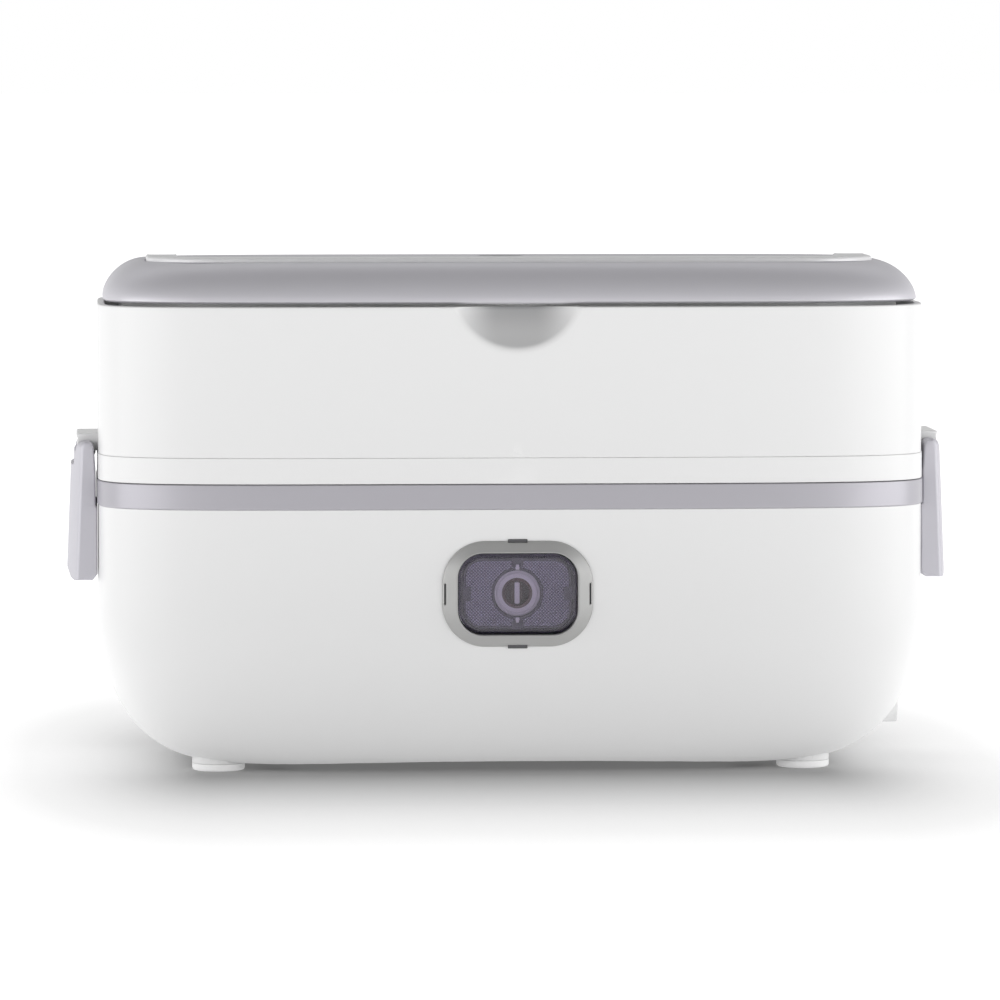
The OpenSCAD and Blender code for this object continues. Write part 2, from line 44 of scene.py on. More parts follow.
# ------------------------------------------------------------------ shared sizes, mm, as in the solids
HW, HD, PLAN = 117.5, 54.0, 5.5
WALL = 2.2
SHELL_Z, UNDER_Z, UNDER_X, UNDER_Y = 2.0, 44.0, 36.0, 20.0
ARCH = 1.3
BAND0, BAND1 = 75.7, 82.8
SKIRT0, SKIRT1 = 82.95, 90.2
TIER1 = 132.6
LID0, LIDS, LIDT = 133.4, 134.0, 144.6
LID_A, LID_B, LID_IN = HW - 1.5, HD - 1.5, 11.0
PAN_X, PAN_Y = 103.0, 41.0
PIVOT_X, PIVOT_Z, PIVOT_R = HW + 3.2, 90.6, 2.7
HINGE_Y, HINGE_Z, HINGE_R = HD + 1.4, 134.2, 2.6
LENS_X, LENS_Z, SWITCH_Z = 16.6, 11.2, 52.0
SCOOP_R, SCOOP_Y, SCOOP_Z = 37.65, -86.5, 139.3
FRONT = -HD


# ------------------------------------------------------------------ outlines
def spow(v, e):
    return math.copysign(abs(v) ** e, v)


def sup(t, a, b, n):
    return a * spow(math.cos(t), 2 / n), b * spow(math.sin(t), 2 / n)


def spread(count, extra=None):
    """Parameter values round the plan outline, close together where it bends."""
    m = 6000
    quarter = [sup(math.pi / 2 * (i / m) ** 2 / ((i / m) ** 2 + (1 - i / m) ** 2), HW, HD, PLAN) for i in range(m + 1)]
    ts = [math.pi / 2 * (i / m) ** 2 / ((i / m) ** 2 + (1 - i / m) ** 2) for i in range(m + 1)]
    cost, last, heading = [0.0], None, None
    for i in range(1, m + 1):
        dx, dy = quarter[i][0] - quarter[i - 1][0], quarter[i][1] - quarter[i - 1][1]
        step = math.hypot(dx, dy)
        h = math.atan2(dy, dx)
        turn = 0.0 if heading is None else abs(math.remainder(h - heading, math.tau))
        heading = h
        cost.append(cost[-1] + step / 160 + turn / (math.pi / 2) * 1.3)
    out, j = [], 0
    for k in range(count):
        want = cost[-1] * k / count
        while cost[j + 1] < want:
            j += 1
        f = (want - cost[j]) / max(cost[j + 1] - cost[j], 1e-12)
        out.append(ts[j] + f * (ts[j + 1] - ts[j]))
    if extra:
        out = sorted(set(out + extra))
        keep = [out[0]]
        for t in out[1:]:
            if abs(sup(t, HW, HD, PLAN)[0] - sup(keep[-1], HW, HD, PLAN)[0]) + abs(sup(t, HW, HD, PLAN)[1] - sup(keep[-1], HW, HD, PLAN)[1]) > 0.12:
                keep.append(t)
        out = keep
    ts = out + [math.pi - t for t in reversed(out) if t > 1e-9]
    ts = ts if any(abs(t - math.pi / 2) < 1e-9 for t in ts) else sorted(ts + [math.pi / 2])
    half = [t for t in ts if t < math.pi - 1e-9]
    return half + [t + math.pi for t in half]


TS = spread(56)
# a denser set of places across the middle, where the finger scoop is
TS_SCOOP = spread(56, [math.acos(min(1.0, (x / HW) ** (PLAN / 2))) for x in [0.35 * i for i in range(1, 62)]])


def ring_at(ts, a, b, n):
    return [sup(t, a, b, n) for t in ts]


def rr(hx, hy, r, cx=0.0, cy=0.0, seg=12):
    """Rounded rectangle as one loop, anticlockwise."""
    pts = []
    for qx, qy, a0 in ((1, 1, 0), (-1, 1, 90), (-1, -1, 180), (1, -1, 270)):
        for i in range(seg + 1):
            a = math.radians(a0 + 90 * i / seg)
            pts.append((cx + qx * (hx - r) + r * math.cos(a), cy + qy * (hy - r) + r * math.sin(a)))
    return dense(pts, 4.0)


def dense(pts, longest):
    out = []
    n = len(pts)
    for i in range(n):
        p, q = pts[i], pts[(i + 1) % n]
        d = math.hypot(q[0] - p[0], q[1] - p[1])
        k = max(1, math.ceil(d / longest))
        for j in range(k):
            out.append((p[0] + (q[0] - p[0]) * j / k, p[1] + (q[1] - p[1]) * j / k))
    return [p for i, p in enumerate(out) if math.hypot(p[0] - out[i - 1][0], p[1] - out[i - 1][1]) > 1e-5]


def rounded(corners, longest=4.0, step=9.0):
    """Loop through (x, y, radius) corners, each rounded by its radius."""
    pts = []
    n = len(corners)
    for i in range(n):
        p = Vector(corners[i - 1][:2])
        c = Vector(corners[i][:2])
        q = Vector(corners[(i + 1) % n][:2])
        r = corners[i][2]
        u, v = (p - c).normalized(), (q - c).normalized()
        half = math.acos(max(-1, min(1, u.dot(v)))) / 2
        if r < 1e-6 or half > math.pi / 2 - 1e-3:
            pts.append(tuple(c))
            continue
        d = min(r / math.tan(half), 0.499 * (p - c).length if corners[i - 1][2] > 0 else 0.98 * (p - c).length,
                0.499 * (q - c).length if corners[(i + 1) % n][2] > 0 else 0.98 * (q - c).length)
        rad = d * math.tan(half)
        centre = c + (u + v).normalized() * (rad / math.sin(half))
        a, b = c + u * d - centre, c + v * d - centre
        a0 = math.atan2(a.y, a.x)
        turn = math.remainder(math.atan2(b.y, b.x) - a0, math.tau)
        k = max(2, math.ceil(abs(math.degrees(turn)) / step))
        for j in range(k + 1):
            t = a0 + turn * j / k
            pts.append((centre.x + rad * math.cos(t), centre.y + rad * math.sin(t)))
    return dense(pts, longest)


def circle(r, cx=0.0, cy=0.0, n=64):
    return [(cx + r * math.cos(math.tau * i / n), cy + r * math.sin(math.tau * i / n)) for i in range(n)]


def shift(loop, d):
    """The loop moved along its own normals: outwards for d > 0 where the loop runs anticlockwise."""
    if abs(d) < 1e-9:
        return list(loop)
    n, out = len(loop), []
    for i in range(n):
        x0, y0 = loop[i - 1]
        x1, y1 = loop[i]
        x2, y2 = loop[(i + 1) % n]
        ax, ay, bx, by = x1 - x0, y1 - y0, x2 - x1, y2 - y1
        la, lb = math.hypot(ax, ay), math.hypot(bx, by)
        nx, ny = ay / la + by / lb, -ax / la - bx / lb
        m = math.hypot(nx, ny)
        k = 1 / max(0.35, m / 2)
        out.append((x1 + nx / m * d * k, y1 + ny / m * d * k))
    return out


def by_angle(loop, like):
    """The loop's points at the same directions from the middle as those of another loop."""
    tab = sorted((math.atan2(y, x) % math.tau, x, y) for x, y in dense(loop, 0.5))
    tab = [(tab[-1][0] - math.tau, tab[-1][1], tab[-1][2])] + tab + [(tab[0][0] + math.tau, tab[0][1], tab[0][2])]
    out = []
    import bisect
    keys = [t[0] for t in tab]
    for x, y in like:
        a = math.atan2(y, x) % math.tau
        j = max(0, min(len(tab) - 2, bisect.bisect_right(keys, a) - 1))
        x0, y0, x1, y1 = tab[j][1], tab[j][2], tab[j + 1][1], tab[j + 1][2]
        # where the ray meets the chord
        c, s = math.cos(a), math.sin(a)
        den = c * (y1 - y0) - s * (x1 - x0)
        d = (x0 * (y1 - y0) - y0 * (x1 - x0)) / den if abs(den) > 1e-9 else math.hypot(x0, y0)
        out.append((c * d, s * d))
    return out


# ------------------------------------------------------------------ mesh building
class Build:
    def __init__(self):
        self.v, self.f = [], []

    def ring(self, loop, z, place=None):
        i = len(self.v)
        self.v += [place(x, y, z) if place else (x, y, z) for x, y in loop]
        return list(range(i, i + len(loop)))

    def ring3(self, pts):
        i = len(self.v)
        self.v += [tuple(p) for p in pts]
        return list(range(i, i + len(pts)))

    def strip(self, a, b):
        n = len(a)
        for i in range(n):
            self.f.append((a[i], a[(i + 1) % n], b[(i + 1) % n], b[i]))

    def strips(self, rings, closed=False):
        for a, b in zip(rings, rings[1:]):
            self.strip(a, b)
        if closed:
            self.strip(rings[-1], rings[0])

    def fill(self, *loops):
        flat = [[Vector(self.v[i]) for i in lp] for lp in loops]
        # flatten onto the plane the loops lie in, so the fill is clean
        idx = [i for lp in loops for i in lp]
        for tri in tessellate_polygon(flat):
            self.f.append(tuple(idx[k] for k in tri))

    def stack(self, loop, steps, place=None, caps=(False, False)):
        """Rings of one loop, each moved outwards by d at height z: steps = [(d, z), ...]."""
        rings = [self.ring(shift(loop, d), z, place) for d, z in steps]
        self.strips(rings)
        if caps[0]:
            self.fill(rings[0])
        if caps[1]:
            self.fill(rings[-1])
        return rings

    def make(self, name, sharp=32.0, weighted=True):
        me = bpy.data.meshes.new(name)
        me.from_pydata([tuple(c * MM for c in p) for p in self.v], [], self.f)
        return finish_mesh(name, me, sharp, weighted)


def finish_mesh(name, me, sharp=32.0, weighted=True):
    bm = bmesh.new()
    bm.from_mesh(me)
    bmesh.ops.remove_doubles(bm, verts=bm.verts, dist=2e-6)
    bmesh.ops.dissolve_degenerate(bm, dist=1e-6, edges=bm.edges)
    bmesh.ops.recalc_face_normals(bm, faces=bm.faces)
    bm.to_mesh(me)
    bm.free()
    for p in me.polygons:
        p.use_smooth = True
    me.set_sharp_from_angle(angle=math.radians(sharp))
    ob = bpy.data.objects.new(name, me)
    scene.collection.objects.link(ob)
    if weighted:
        m = ob.modifiers.new("even_shade", "WEIGHTED_NORMAL")
        m.keep_sharp = True
        m.weight = 50
    return ob


def round_steps(z0, z1, r0, r1, k=4, base=0.0):
    """(offset, height) pairs for a wall with a rounded lower edge r0 and upper edge r1."""
    out = []
    if r0 > 0:
        out += [(base - r0 * (1 - math.sin(math.pi / 2 * i / k)), z0 + r0 * (1 - math.cos(math.pi / 2 * i / k))) for i in range(k + 1)]
    else:
        out.append((base, z0))
    if r1 > 0:
        out += [(base - r1 * (1 - math.cos(math.pi / 2 * i / k)), z1 - r1 * (1 - math.sin(math.pi / 2 * i / k))) for i in range(k + 1)]
    else:
        out.append((base, z1))
    return out


def boolean(ob, other, how):
    """Cuts or joins two built pieces and keeps the result as plain mesh."""
    m = ob.modifiers.new("cut", "BOOLEAN")
    m.object, m.operation, m.solver = other, how, "EXACT"
    if "even_shade" in ob.modifiers:
        ob.modifiers.remove(ob.modifiers["even_shade"])
    dg = bpy.context.evaluated_depsgraph_get()
    me = bpy.data.meshes.new_from_object(ob.evaluated_get(dg))
    name = ob.name
    old = ob.data
    bpy.data.objects.remove(ob)
    bpy.data.meshes.remove(old)
    bpy.data.objects.remove(other)
    me.name = name
    out = finish_mesh(name, me)
    out.name = name
    return out


def face_y(x, y, z):
    """Drawing plane X and Z, thickness along Y."""
    return (x, z, y)


def face_x(x, y, z):
    """Drawing plane Y and Z, thickness along X."""
    return (z, x, y)


# ------------------------------------------------------------------ materials
def lin(*rgb):
    out = []
    for c in rgb:
        c /= 255
        out.append(c / 12.92 if c <= 0.04045 else ((c + 0.055) / 1.055) ** 2.4)
    return (*out, 1.0)


class Mat:
    """One procedural material with helper calls for its nodes."""

    def __init__(self, name):
        self.m = bpy.data.materials.new(name)
        self.m.use_nodes = True
        self.t = self.m.node_tree
        self.b = self.t.nodes["Principled BSDF"]
        self.co = self.n("ShaderNodeTexCoord").outputs["Object"]

    def n(self, kind, **vals):
        nd = self.t.nodes.new(kind)
        for k, v in vals.items():
            setattr(nd, k, v)
        return nd

    def link(self, a, b):
        self.t.links.new(a, b)

    def mapped(self, scale=(1, 1, 1), rot=(0, 0, 0)):
        mp = self.n("ShaderNodeMapping")
        mp.inputs["Scale"].default_value = scale
        mp.inputs["Rotation"].default_value = rot
        self.link(self.co, mp.inputs["Vector"])
        return mp.outputs["Vector"]

    def noise(self, scale, detail=2.0, rough=0.5, vec=None, distort=0.0):
        nd = self.n("ShaderNodeTexNoise")
        nd.inputs["Scale"].default_value = scale
        nd.inputs["Detail"].default_value = detail
        nd.inputs["Roughness"].default_value = rough
        nd.inputs["Distortion"].default_value = distort
        self.link(vec if vec is not None else self.co, nd.inputs["Vector"])
        return nd.outputs["Fac"]

    def ramp(self, fac, lo, hi, a, b):
        nd = self.n("ShaderNodeMapRange")
        nd.inputs["From Min"].default_value = lo
        nd.inputs["From Max"].default_value = hi
        nd.inputs["To Min"].default_value = a
        nd.inputs["To Max"].default_value = b
        self.link(fac, nd.inputs["Value"])
        return nd.outputs["Result"]

    def math(self, op, a, b):
        nd = self.n("ShaderNodeMath", operation=op)
        for i, v in enumerate((a, b)):
            if isinstance(v, (int, float)):
                nd.inputs[i].default_value = v
            else:
                self.link(v, nd.inputs[i])
        return nd.outputs["Value"]

    def mix(self, fac, a, b, mode="MIX"):
        nd = self.n("ShaderNodeMix", data_type="RGBA", blend_type=mode)
        for i, v in ((0, fac), (6, a), (7, b)):
            if isinstance(v, (tuple, float, int)):
                nd.inputs[i].default_value = v
            else:
                self.link(v, nd.inputs[i])
        return nd.outputs[2]

    def bump(self, height, strength, dist, prev=None):
        nd = self.n("ShaderNodeBump")
        nd.inputs["Strength"].default_value = strength
        nd.inputs["Distance"].default_value = dist
        self.link(height, nd.inputs["Height"])
        if prev is not None:
            self.link(prev, nd.inputs["Normal"])
        return nd.outputs["Normal"]

    def set(self, **vals):
        for k, v in vals.items():
            self.b.inputs[k.replace("_", " ")].default_value = v

    def out(self, color=None, rough=None, normal=None):
        if color is not None:
            self.link(color, self.b.inputs["Base Color"])
        if rough is not None:
            self.link(rough, self.b.inputs["Roughness"])
        if normal is not None:
            self.link(normal, self.b.inputs["Normal"])
        return self.m


def moulded(name, color, dark=0.95, rough=(0.32, 0.44), grain=2600.0, grain_depth=0.000012, scuff=0.06, metal=0.0, spec=0.5, edge=0.05, wave=0.05):
    """Injection-moulded plastic: fine spark grain, faint flow clouds, light handling scuffs, slightly polished edges."""
    m = Mat(name)
    cloud = m.noise(16.0, 3.0, 0.55)
    fine = m.noise(420.0, 2.0, 0.6)
    dk = (color[0] * dark, color[1] * dark, color[2] * dark, 1)
    col = m.mix(m.ramp(cloud, 0.35, 0.7, 0.0, 0.55), color, dk)
    col = m.mix(m.ramp(fine, 0.45, 0.75, 0.0, 0.18), col, dk)
    geo = m.n("ShaderNodeNewGeometry")
    worn = m.ramp(geo.outputs["Pointiness"], 0.515, 0.6, 0.0, 1.0)
    lt = tuple(min(1.0, c * (1 + edge)) for c in color[:3]) + (1,)
    col = m.mix(m.math("MULTIPLY", worn, 0.7), col, lt)
    smear = m.noise(38.0, 4.0, 0.6, m.mapped((1, 1, 2.2), (0.3, 0.2, 0.5)), 0.6)
    r = m.ramp(smear, 0.3, 0.75, rough[0], rough[1])
    scratch = m.noise(90.0, 5.0, 0.7, m.mapped((1.0, 7.0, 9.0), (0.4, 0.9, 0.2)))
    r = m.math("ADD", r, m.math("MULTIPLY", m.ramp(scratch, 0.62, 0.74, 0.0, 1.0), scuff))
    r = m.math("SUBTRACT", r, m.math("MULTIPLY", worn, 0.05))
    g = m.noise(grain, 1.0, 0.5)
    nrm = m.bump(g, 0.5, grain_depth)
    nrm = m.bump(m.noise(55.0, 2.0, 0.5), wave, 0.00006, nrm)
    m.set(IOR=1.49, Specular_IOR_Level=spec, Metallic=metal)
    return m.out(col, r, nrm)


def brushed(name, color, rough=(0.2, 0.34), along="x", fine=900.0):
    """Drawn or brushed steel with streaks, soft water marks and a faint orange peel from pressing."""
    m = Mat(name)
    sc = {"x": (0.02, 1, 1), "y": (1, 0.02, 1), "z": (1, 1, 0.02)}[along]
    st = m.noise(fine, 3.0, 0.65, m.mapped(sc))
    marks = m.noise(26.0, 4.0, 0.6, None, 0.8)
    dk = tuple(c * 0.84 for c in color[:3]) + (1,)
    col = m.mix(m.ramp(st, 0.35, 0.7, 0.0, 0.6), color, dk)
    col = m.mix(m.ramp(marks, 0.5, 0.72, 0.0, 0.22), col, (color[0] * 0.9, color[1] * 0.88, color[2] * 0.84, 1))
    r = m.math("ADD", m.ramp(st, 0.3, 0.7, rough[0], rough[1]), m.ramp(marks, 0.5, 0.7, 0.0, 0.08))
    nrm = m.bump(st, 0.25, 0.00001)
    nrm = m.bump(m.noise(70.0, 2.0), 0.15, 0.00005, nrm)
    m.set(Metallic=1.0)
    return m.out(col, r, nrm)


def rubbery(name, color, rough=(0.5, 0.7), dust=0.1):
    """Silicone or soft rubber: matt skin, a little dust, fine pores."""
    m = Mat(name)
    d = m.noise(60.0, 4.0, 0.65)
    p = m.noise(900.0, 2.0, 0.6)
    lt = tuple(min(1, c + dust) for c in color[:3]) + (1,)
    dk = tuple(c * 0.9 for c in color[:3]) + (1,)
    col = m.mix(m.ramp(d, 0.5, 0.75, 0.0, 0.6), color, lt)
    col = m.mix(m.ramp(p, 0.5, 0.8, 0.0, 0.3), col, dk)
    m.set(IOR=1.42, Specular_IOR_Level=0.35)
    return m.out(col, m.ramp(d, 0.3, 0.7, rough[0], rough[1]), m.bump(p, 0.35, 0.00003))


WHITE = moulded("white_abs", (0.80, 0.80, 0.80, 1), dark=0.994, rough=(0.31, 0.33), scuff=0.004, wave=0.012)
WHITE_IN = moulded("white_inner", (0.78, 0.78, 0.78, 1), dark=0.96, rough=(0.36, 0.5))
# painted light: the lid is the band's grey plastic, made paler to make up for the dimmer light on its up-facing slopes
GREY_LID = moulded("grey_lid_skin", (0.64, 0.63, 0.67, 1), dark=0.985, rough=(0.43, 0.47), grain_depth=0.00002, metal=0.3, scuff=0.02)
GREY_BAND = moulded("grey_band_skin", (0.43, 0.42, 0.455, 1), dark=0.985, rough=(0.34, 0.40), grain_depth=0.00002, metal=0.4, scuff=0.03)
GREY_HANDLE = moulded("grey_handle_skin", (0.84, 0.84, 0.85, 1), dark=0.985, rough=(0.38, 0.42), grain_depth=0.00002, metal=0.1, scuff=0.02)
GREY_LATCH = moulded("grey_latch_skin", (0.55, 0.54, 0.585, 1), dark=0.985, rough=(0.44, 0.48), grain_depth=0.00002, metal=0.2, scuff=0.02)
GREY_BEZEL = moulded("grey_bezel_skin", (0.42, 0.42, 0.415, 1), dark=0.985, rough=(0.38, 0.42), grain_depth=0.00002, metal=0.25, scuff=0.02)
GREY_VALVE = rubbery("grey_valve_skin", (0.45, 0.45, 0.47, 1))
SILICONE = rubbery("milky_silicone", (0.70, 0.71, 0.73, 1), (0.4, 0.6), 0.05)
FOOT = rubbery("soft_foot_rubber", (0.92, 0.92, 0.92, 1), (0.45, 0.6), 0.04)
BLACK = moulded("black_nylon", (0.018, 0.018, 0.02, 1), dark=0.7, rough=(0.38, 0.55), grain_depth=0.00003, edge=0.9)
STEEL = brushed("drawn_steel", (0.66, 0.665, 0.67, 1), (0.16, 0.3), "x")
SCREW = brushed("zinc_steel", (0.56, 0.56, 0.57, 1), (0.28, 0.42), "z", 1600.0)
CAST = brushed("cast_aluminium", (0.62, 0.63, 0.64, 1), (0.4, 0.55), "y", 500.0)
BRASS = brushed("plated_brass", (0.75, 0.66, 0.42, 1), (0.22, 0.36), "x", 1400.0)
CASE = brushed("heater_foil", (0.42, 0.40, 0.37, 1), (0.4, 0.6), "y", 700.0)
FUSE = moulded("fuse_sleeve", (0.66, 0.60, 0.5, 1))
BOARD = moulded("board_lacquer", (0.02, 0.09, 0.035, 1), rough=(0.25, 0.35), grain=900.0)
COVER = moulded("frosted_cover", (0.70, 0.73, 0.76, 1), dark=0.97, rough=(0.28, 0.4))
W_BROWN = rubbery("wire_brown_skin", (0.09, 0.035, 0.015, 1))
W_BLUE = rubbery("wire_blue_skin", (0.01, 0.05, 0.22, 1))
W_GREEN = rubbery("wire_green_skin", (0.06, 0.22, 0.03, 1))
W_WHITE = rubbery("wire_white_skin", (0.7, 0.7, 0.7, 1))


def glassy(name, color, rough=0.03):
    m = Mat(name)
    h = m.noise(300.0, 2.0)
    m.set(Transmission_Weight=1.0, IOR=1.46, Specular_IOR_Level=0.5)
    col = m.mix(m.ramp(m.noise(40.0, 3.0), 0.35, 0.7, 0.0, 0.25), color, tuple(c * 0.9 for c in color[:3]) + (1,))
    return m.out(col, m.ramp(h, 0.3, 0.7, rough, rough + 0.05), m.bump(m.noise(120.0, 2.0), 0.08, 0.00004))


LENS = glassy("smoky_clear", (0.73, 0.70, 0.79, 1))
LAMPGLASS = glassy("lamp_envelope", (0.92, 0.80, 0.74, 1))
DIFFUSER = moulded("knurled_violet", (0.50, 0.465, 0.585, 1), dark=0.75, rough=(0.12, 0.2), grain_depth=0.000004, edge=0.5)
BORDER = moulded("violet_plate_border", (0.07, 0.062, 0.09, 1), dark=0.8, rough=(0.12, 0.2), grain_depth=0.000004, edge=0.8)
LAMPRING = moulded("pale_lamp_ring", (0.86, 0.81, 0.89, 1), dark=0.9, rough=(0.15, 0.25), grain_depth=0.000004)
LAMPCUP = moulded("dark_lamp_cup", (0.10, 0.045, 0.05, 1), dark=0.6, rough=(0.2, 0.35))
DARKGAP = moulded("dark_slot", (0.09, 0.09, 0.095, 1), dark=0.6, rough=(0.5, 0.7))
SKIRT = moulded("violet_cap_skirt", (0.035, 0.03, 0.05, 1), dark=0.8, rough=(0.12, 0.2), grain_depth=0.000004, edge=0.8)
BEAD = moulded("pale_ring_bead", (0.86, 0.82, 0.90, 1), dark=0.95, rough=(0.1, 0.18), grain_depth=0.000004)


def paint_scoop_shade(mat, full):
    """Painted shade in the bowl of the finger scoop: the base colour is darkened with its depth behind the wall and
    towards the rim under the lid.
    """
    t = mat.node_tree
    b = t.nodes["Principled BSDF"]
    old = b.inputs["Base Color"].links[0].from_socket
    sep = t.nodes.new("ShaderNodeSeparateXYZ")
    t.links.new(t.nodes["Texture Coordinate"].outputs["Object"], sep.inputs[0])

    def calc(op, a, c):
        n = t.nodes.new("ShaderNodeMath")
        n.operation = op
        for i, x in enumerate((a, c)):
            if isinstance(x, (int, float)):
                n.inputs[i].default_value = x
            else:
                t.links.new(x, n.inputs[i])
        return n.outputs[0]

    def smooth(v, lo, hi, a, c):
        n = t.nodes.new("ShaderNodeMapRange")
        n.interpolation_type = "SMOOTHSTEP"
        for k, x in (("From Min", lo), ("From Max", hi), ("To Min", a), ("To Max", c)):
            n.inputs[k].default_value = x
        t.links.new(v, n.inputs["Value"])
        return n.outputs["Result"]
    deep = smooth(sep.outputs[1], -53.97 * MM, -53.2 * MM, 0.0, 0.60)
    high = smooth(sep.outputs[2], 124.0 * MM, 133.0 * MM, 0.0, 0.55)
    mid = smooth(calc("ABSOLUTE", sep.outputs[0], 0.0), 5.0 * MM, 19.4 * MM, 1.0, 0.0)
    # painted shadow: a further darkening in the top 1.2 mm of the scoop, under the lid's edge
    high = calc("ADD", high, smooth(sep.outputs[2], 131.4 * MM, 132.6 * MM, 0.0, 0.45))
    tone = calc("MULTIPLY", deep, calc("ADD", 1.0, high))
    tone = calc("MULTIPLY", tone, mid)
    tone = calc("MULTIPLY", tone, calc("LESS_THAN", sep.outputs[1], -48.7 * MM))
    tone = calc("MULTIPLY", tone, full)
    mul = t.nodes.new("ShaderNodeMix")
    mul.data_type, mul.blend_type = "RGBA", "MIX"
    t.links.new(tone, mul.inputs[0])
    t.links.new(old, mul.inputs[6])
    # the colour that the painted shade mixes towards
    mul.inputs[7].default_value = (0.16, 0.16, 0.165, 1)
    t.links.new(mul.outputs[2], b.inputs["Base Color"])


def paint_knurl_shade_highlight(mat, y_low, y_tip, low, tip):
    """Painted shade in the valleys and painted highlight on the tips of the knurled plate, by height above its face."""
    t = mat.node_tree
    b = t.nodes["Principled BSDF"]
    old = b.inputs["Base Color"].links[0].from_socket
    sep = t.nodes.new("ShaderNodeSeparateXYZ")
    t.links.new(t.nodes["Texture Coordinate"].outputs["Object"], sep.inputs[0])
    mr = t.nodes.new("ShaderNodeMapRange")
    for k, v in (("From Min", y_low), ("From Max", y_tip), ("To Min", 0.0), ("To Max", 1.0)):
        mr.inputs[k].default_value = v
    t.links.new(sep.outputs[1], mr.inputs["Value"])
    tone = t.nodes.new("ShaderNodeMix")
    tone.data_type = "RGBA"
    t.links.new(mr.outputs["Result"], tone.inputs[0])
    # painted shade colour for the valleys, painted highlight for the tips: the tip colour is above white, so it
    # brightens the base colour
    tone.inputs[6].default_value, tone.inputs[7].default_value = low, tip
    mul = t.nodes.new("ShaderNodeMix")
    mul.data_type, mul.blend_type = "RGBA", "MULTIPLY"
    mul.inputs[0].default_value = 1.0
    t.links.new(old, mul.inputs[6])
    t.links.new(tone.outputs[2], mul.inputs[7])
    t.links.new(mul.outputs[2], b.inputs["Base Color"])


# the tier's white with painted shade in the finger scoop
WHITE_TIER = moulded("white_abs_painted_scoop_shade", (0.80, 0.80, 0.80, 1), dark=0.994, rough=(0.31, 0.33), scuff=0.004, wave=0.012)
paint_scoop_shade(WHITE_TIER, 0.74)
# painted shade and painted highlight on the knurled plate
paint_knurl_shade_highlight(DIFFUSER, (FRONT + 1.6) * MM, (FRONT + 1.3) * MM, (0.22, 0.22, 0.24, 1), (2.0, 2.0, 2.0, 1))


def dress(ob, mat):
    ob.data.materials.clear()
    ob.data.materials.append(mat)
    for p in ob.data.polygons:
        p.material_index = 0
    return ob


def piece(ob, body, mat, slot, *nodes):
    dress(ob, mat)
    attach(ob, body)
    if nodes:
        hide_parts(*nodes)
    return ob


# materials of the solids that stay as they are
for n, m in {
    "bottom_cover": WHITE_IN, "foot_pads": FOOT, "cover_screws": SCREW, "heating_pan": STEEL, "pan_gasket": SILICONE,
    "heat_spreader": CAST, "ptc_heater": CASE, "heater_clamp": SCREW, "clamp_screws": SCREW, "thermostat": BLACK,
    "thermal_fuse": FUSE, "inlet_socket": BLACK, "inlet_pins": BRASS, "switch_carrier": BLACK, "switch_board": BOARD,
    "push_switch": BLACK, "lamp_ring": LAMPRING, "indicator_lamp": LAMPGLASS, "live_wire": W_BROWN, "neutral_wire": W_BLUE,
    "earth_wire": W_GREEN, "switch_wire": W_WHITE, "tier_liner": STEEL, "tier_seal": SILICONE, "latch_pins": SCREW,
    "lid_hinge_pins": SCREW, "lid_seal": SILICONE, "vent_valve": GREY_VALVE, "handle_pins": SCREW, "rice_bowl": STEEL,
    "bowl_lid": COVER, "bowl_lid_seal": SILICONE,
}.items():
    NODES[n].data.materials.clear()
    NODES[n].data.materials.append(m)


# ------------------------------------------------------------------ base
def arch(x):
    return SHELL_Z + ARCH - x * x / (2 * 1995.0)


def base_ring(phi, off, z0):
    c, s = max(math.cos(phi), 0.0) ** (2 / 2.25), max(math.sin(phi), 0.0) ** (2 / 2.25)
    loop = ring_at(TS, HW - UNDER_X * (1 - c) - off, HD - UNDER_Y * (1 - c) - off, 4.2 + (PLAN - 4.2) * c)
    z = z0 + (SHELL_Z + UNDER_Z - z0) * (1 - s)
    return [(x, y, max(z, arch(x) + z0 - SHELL_Z)) for x, y in loop]


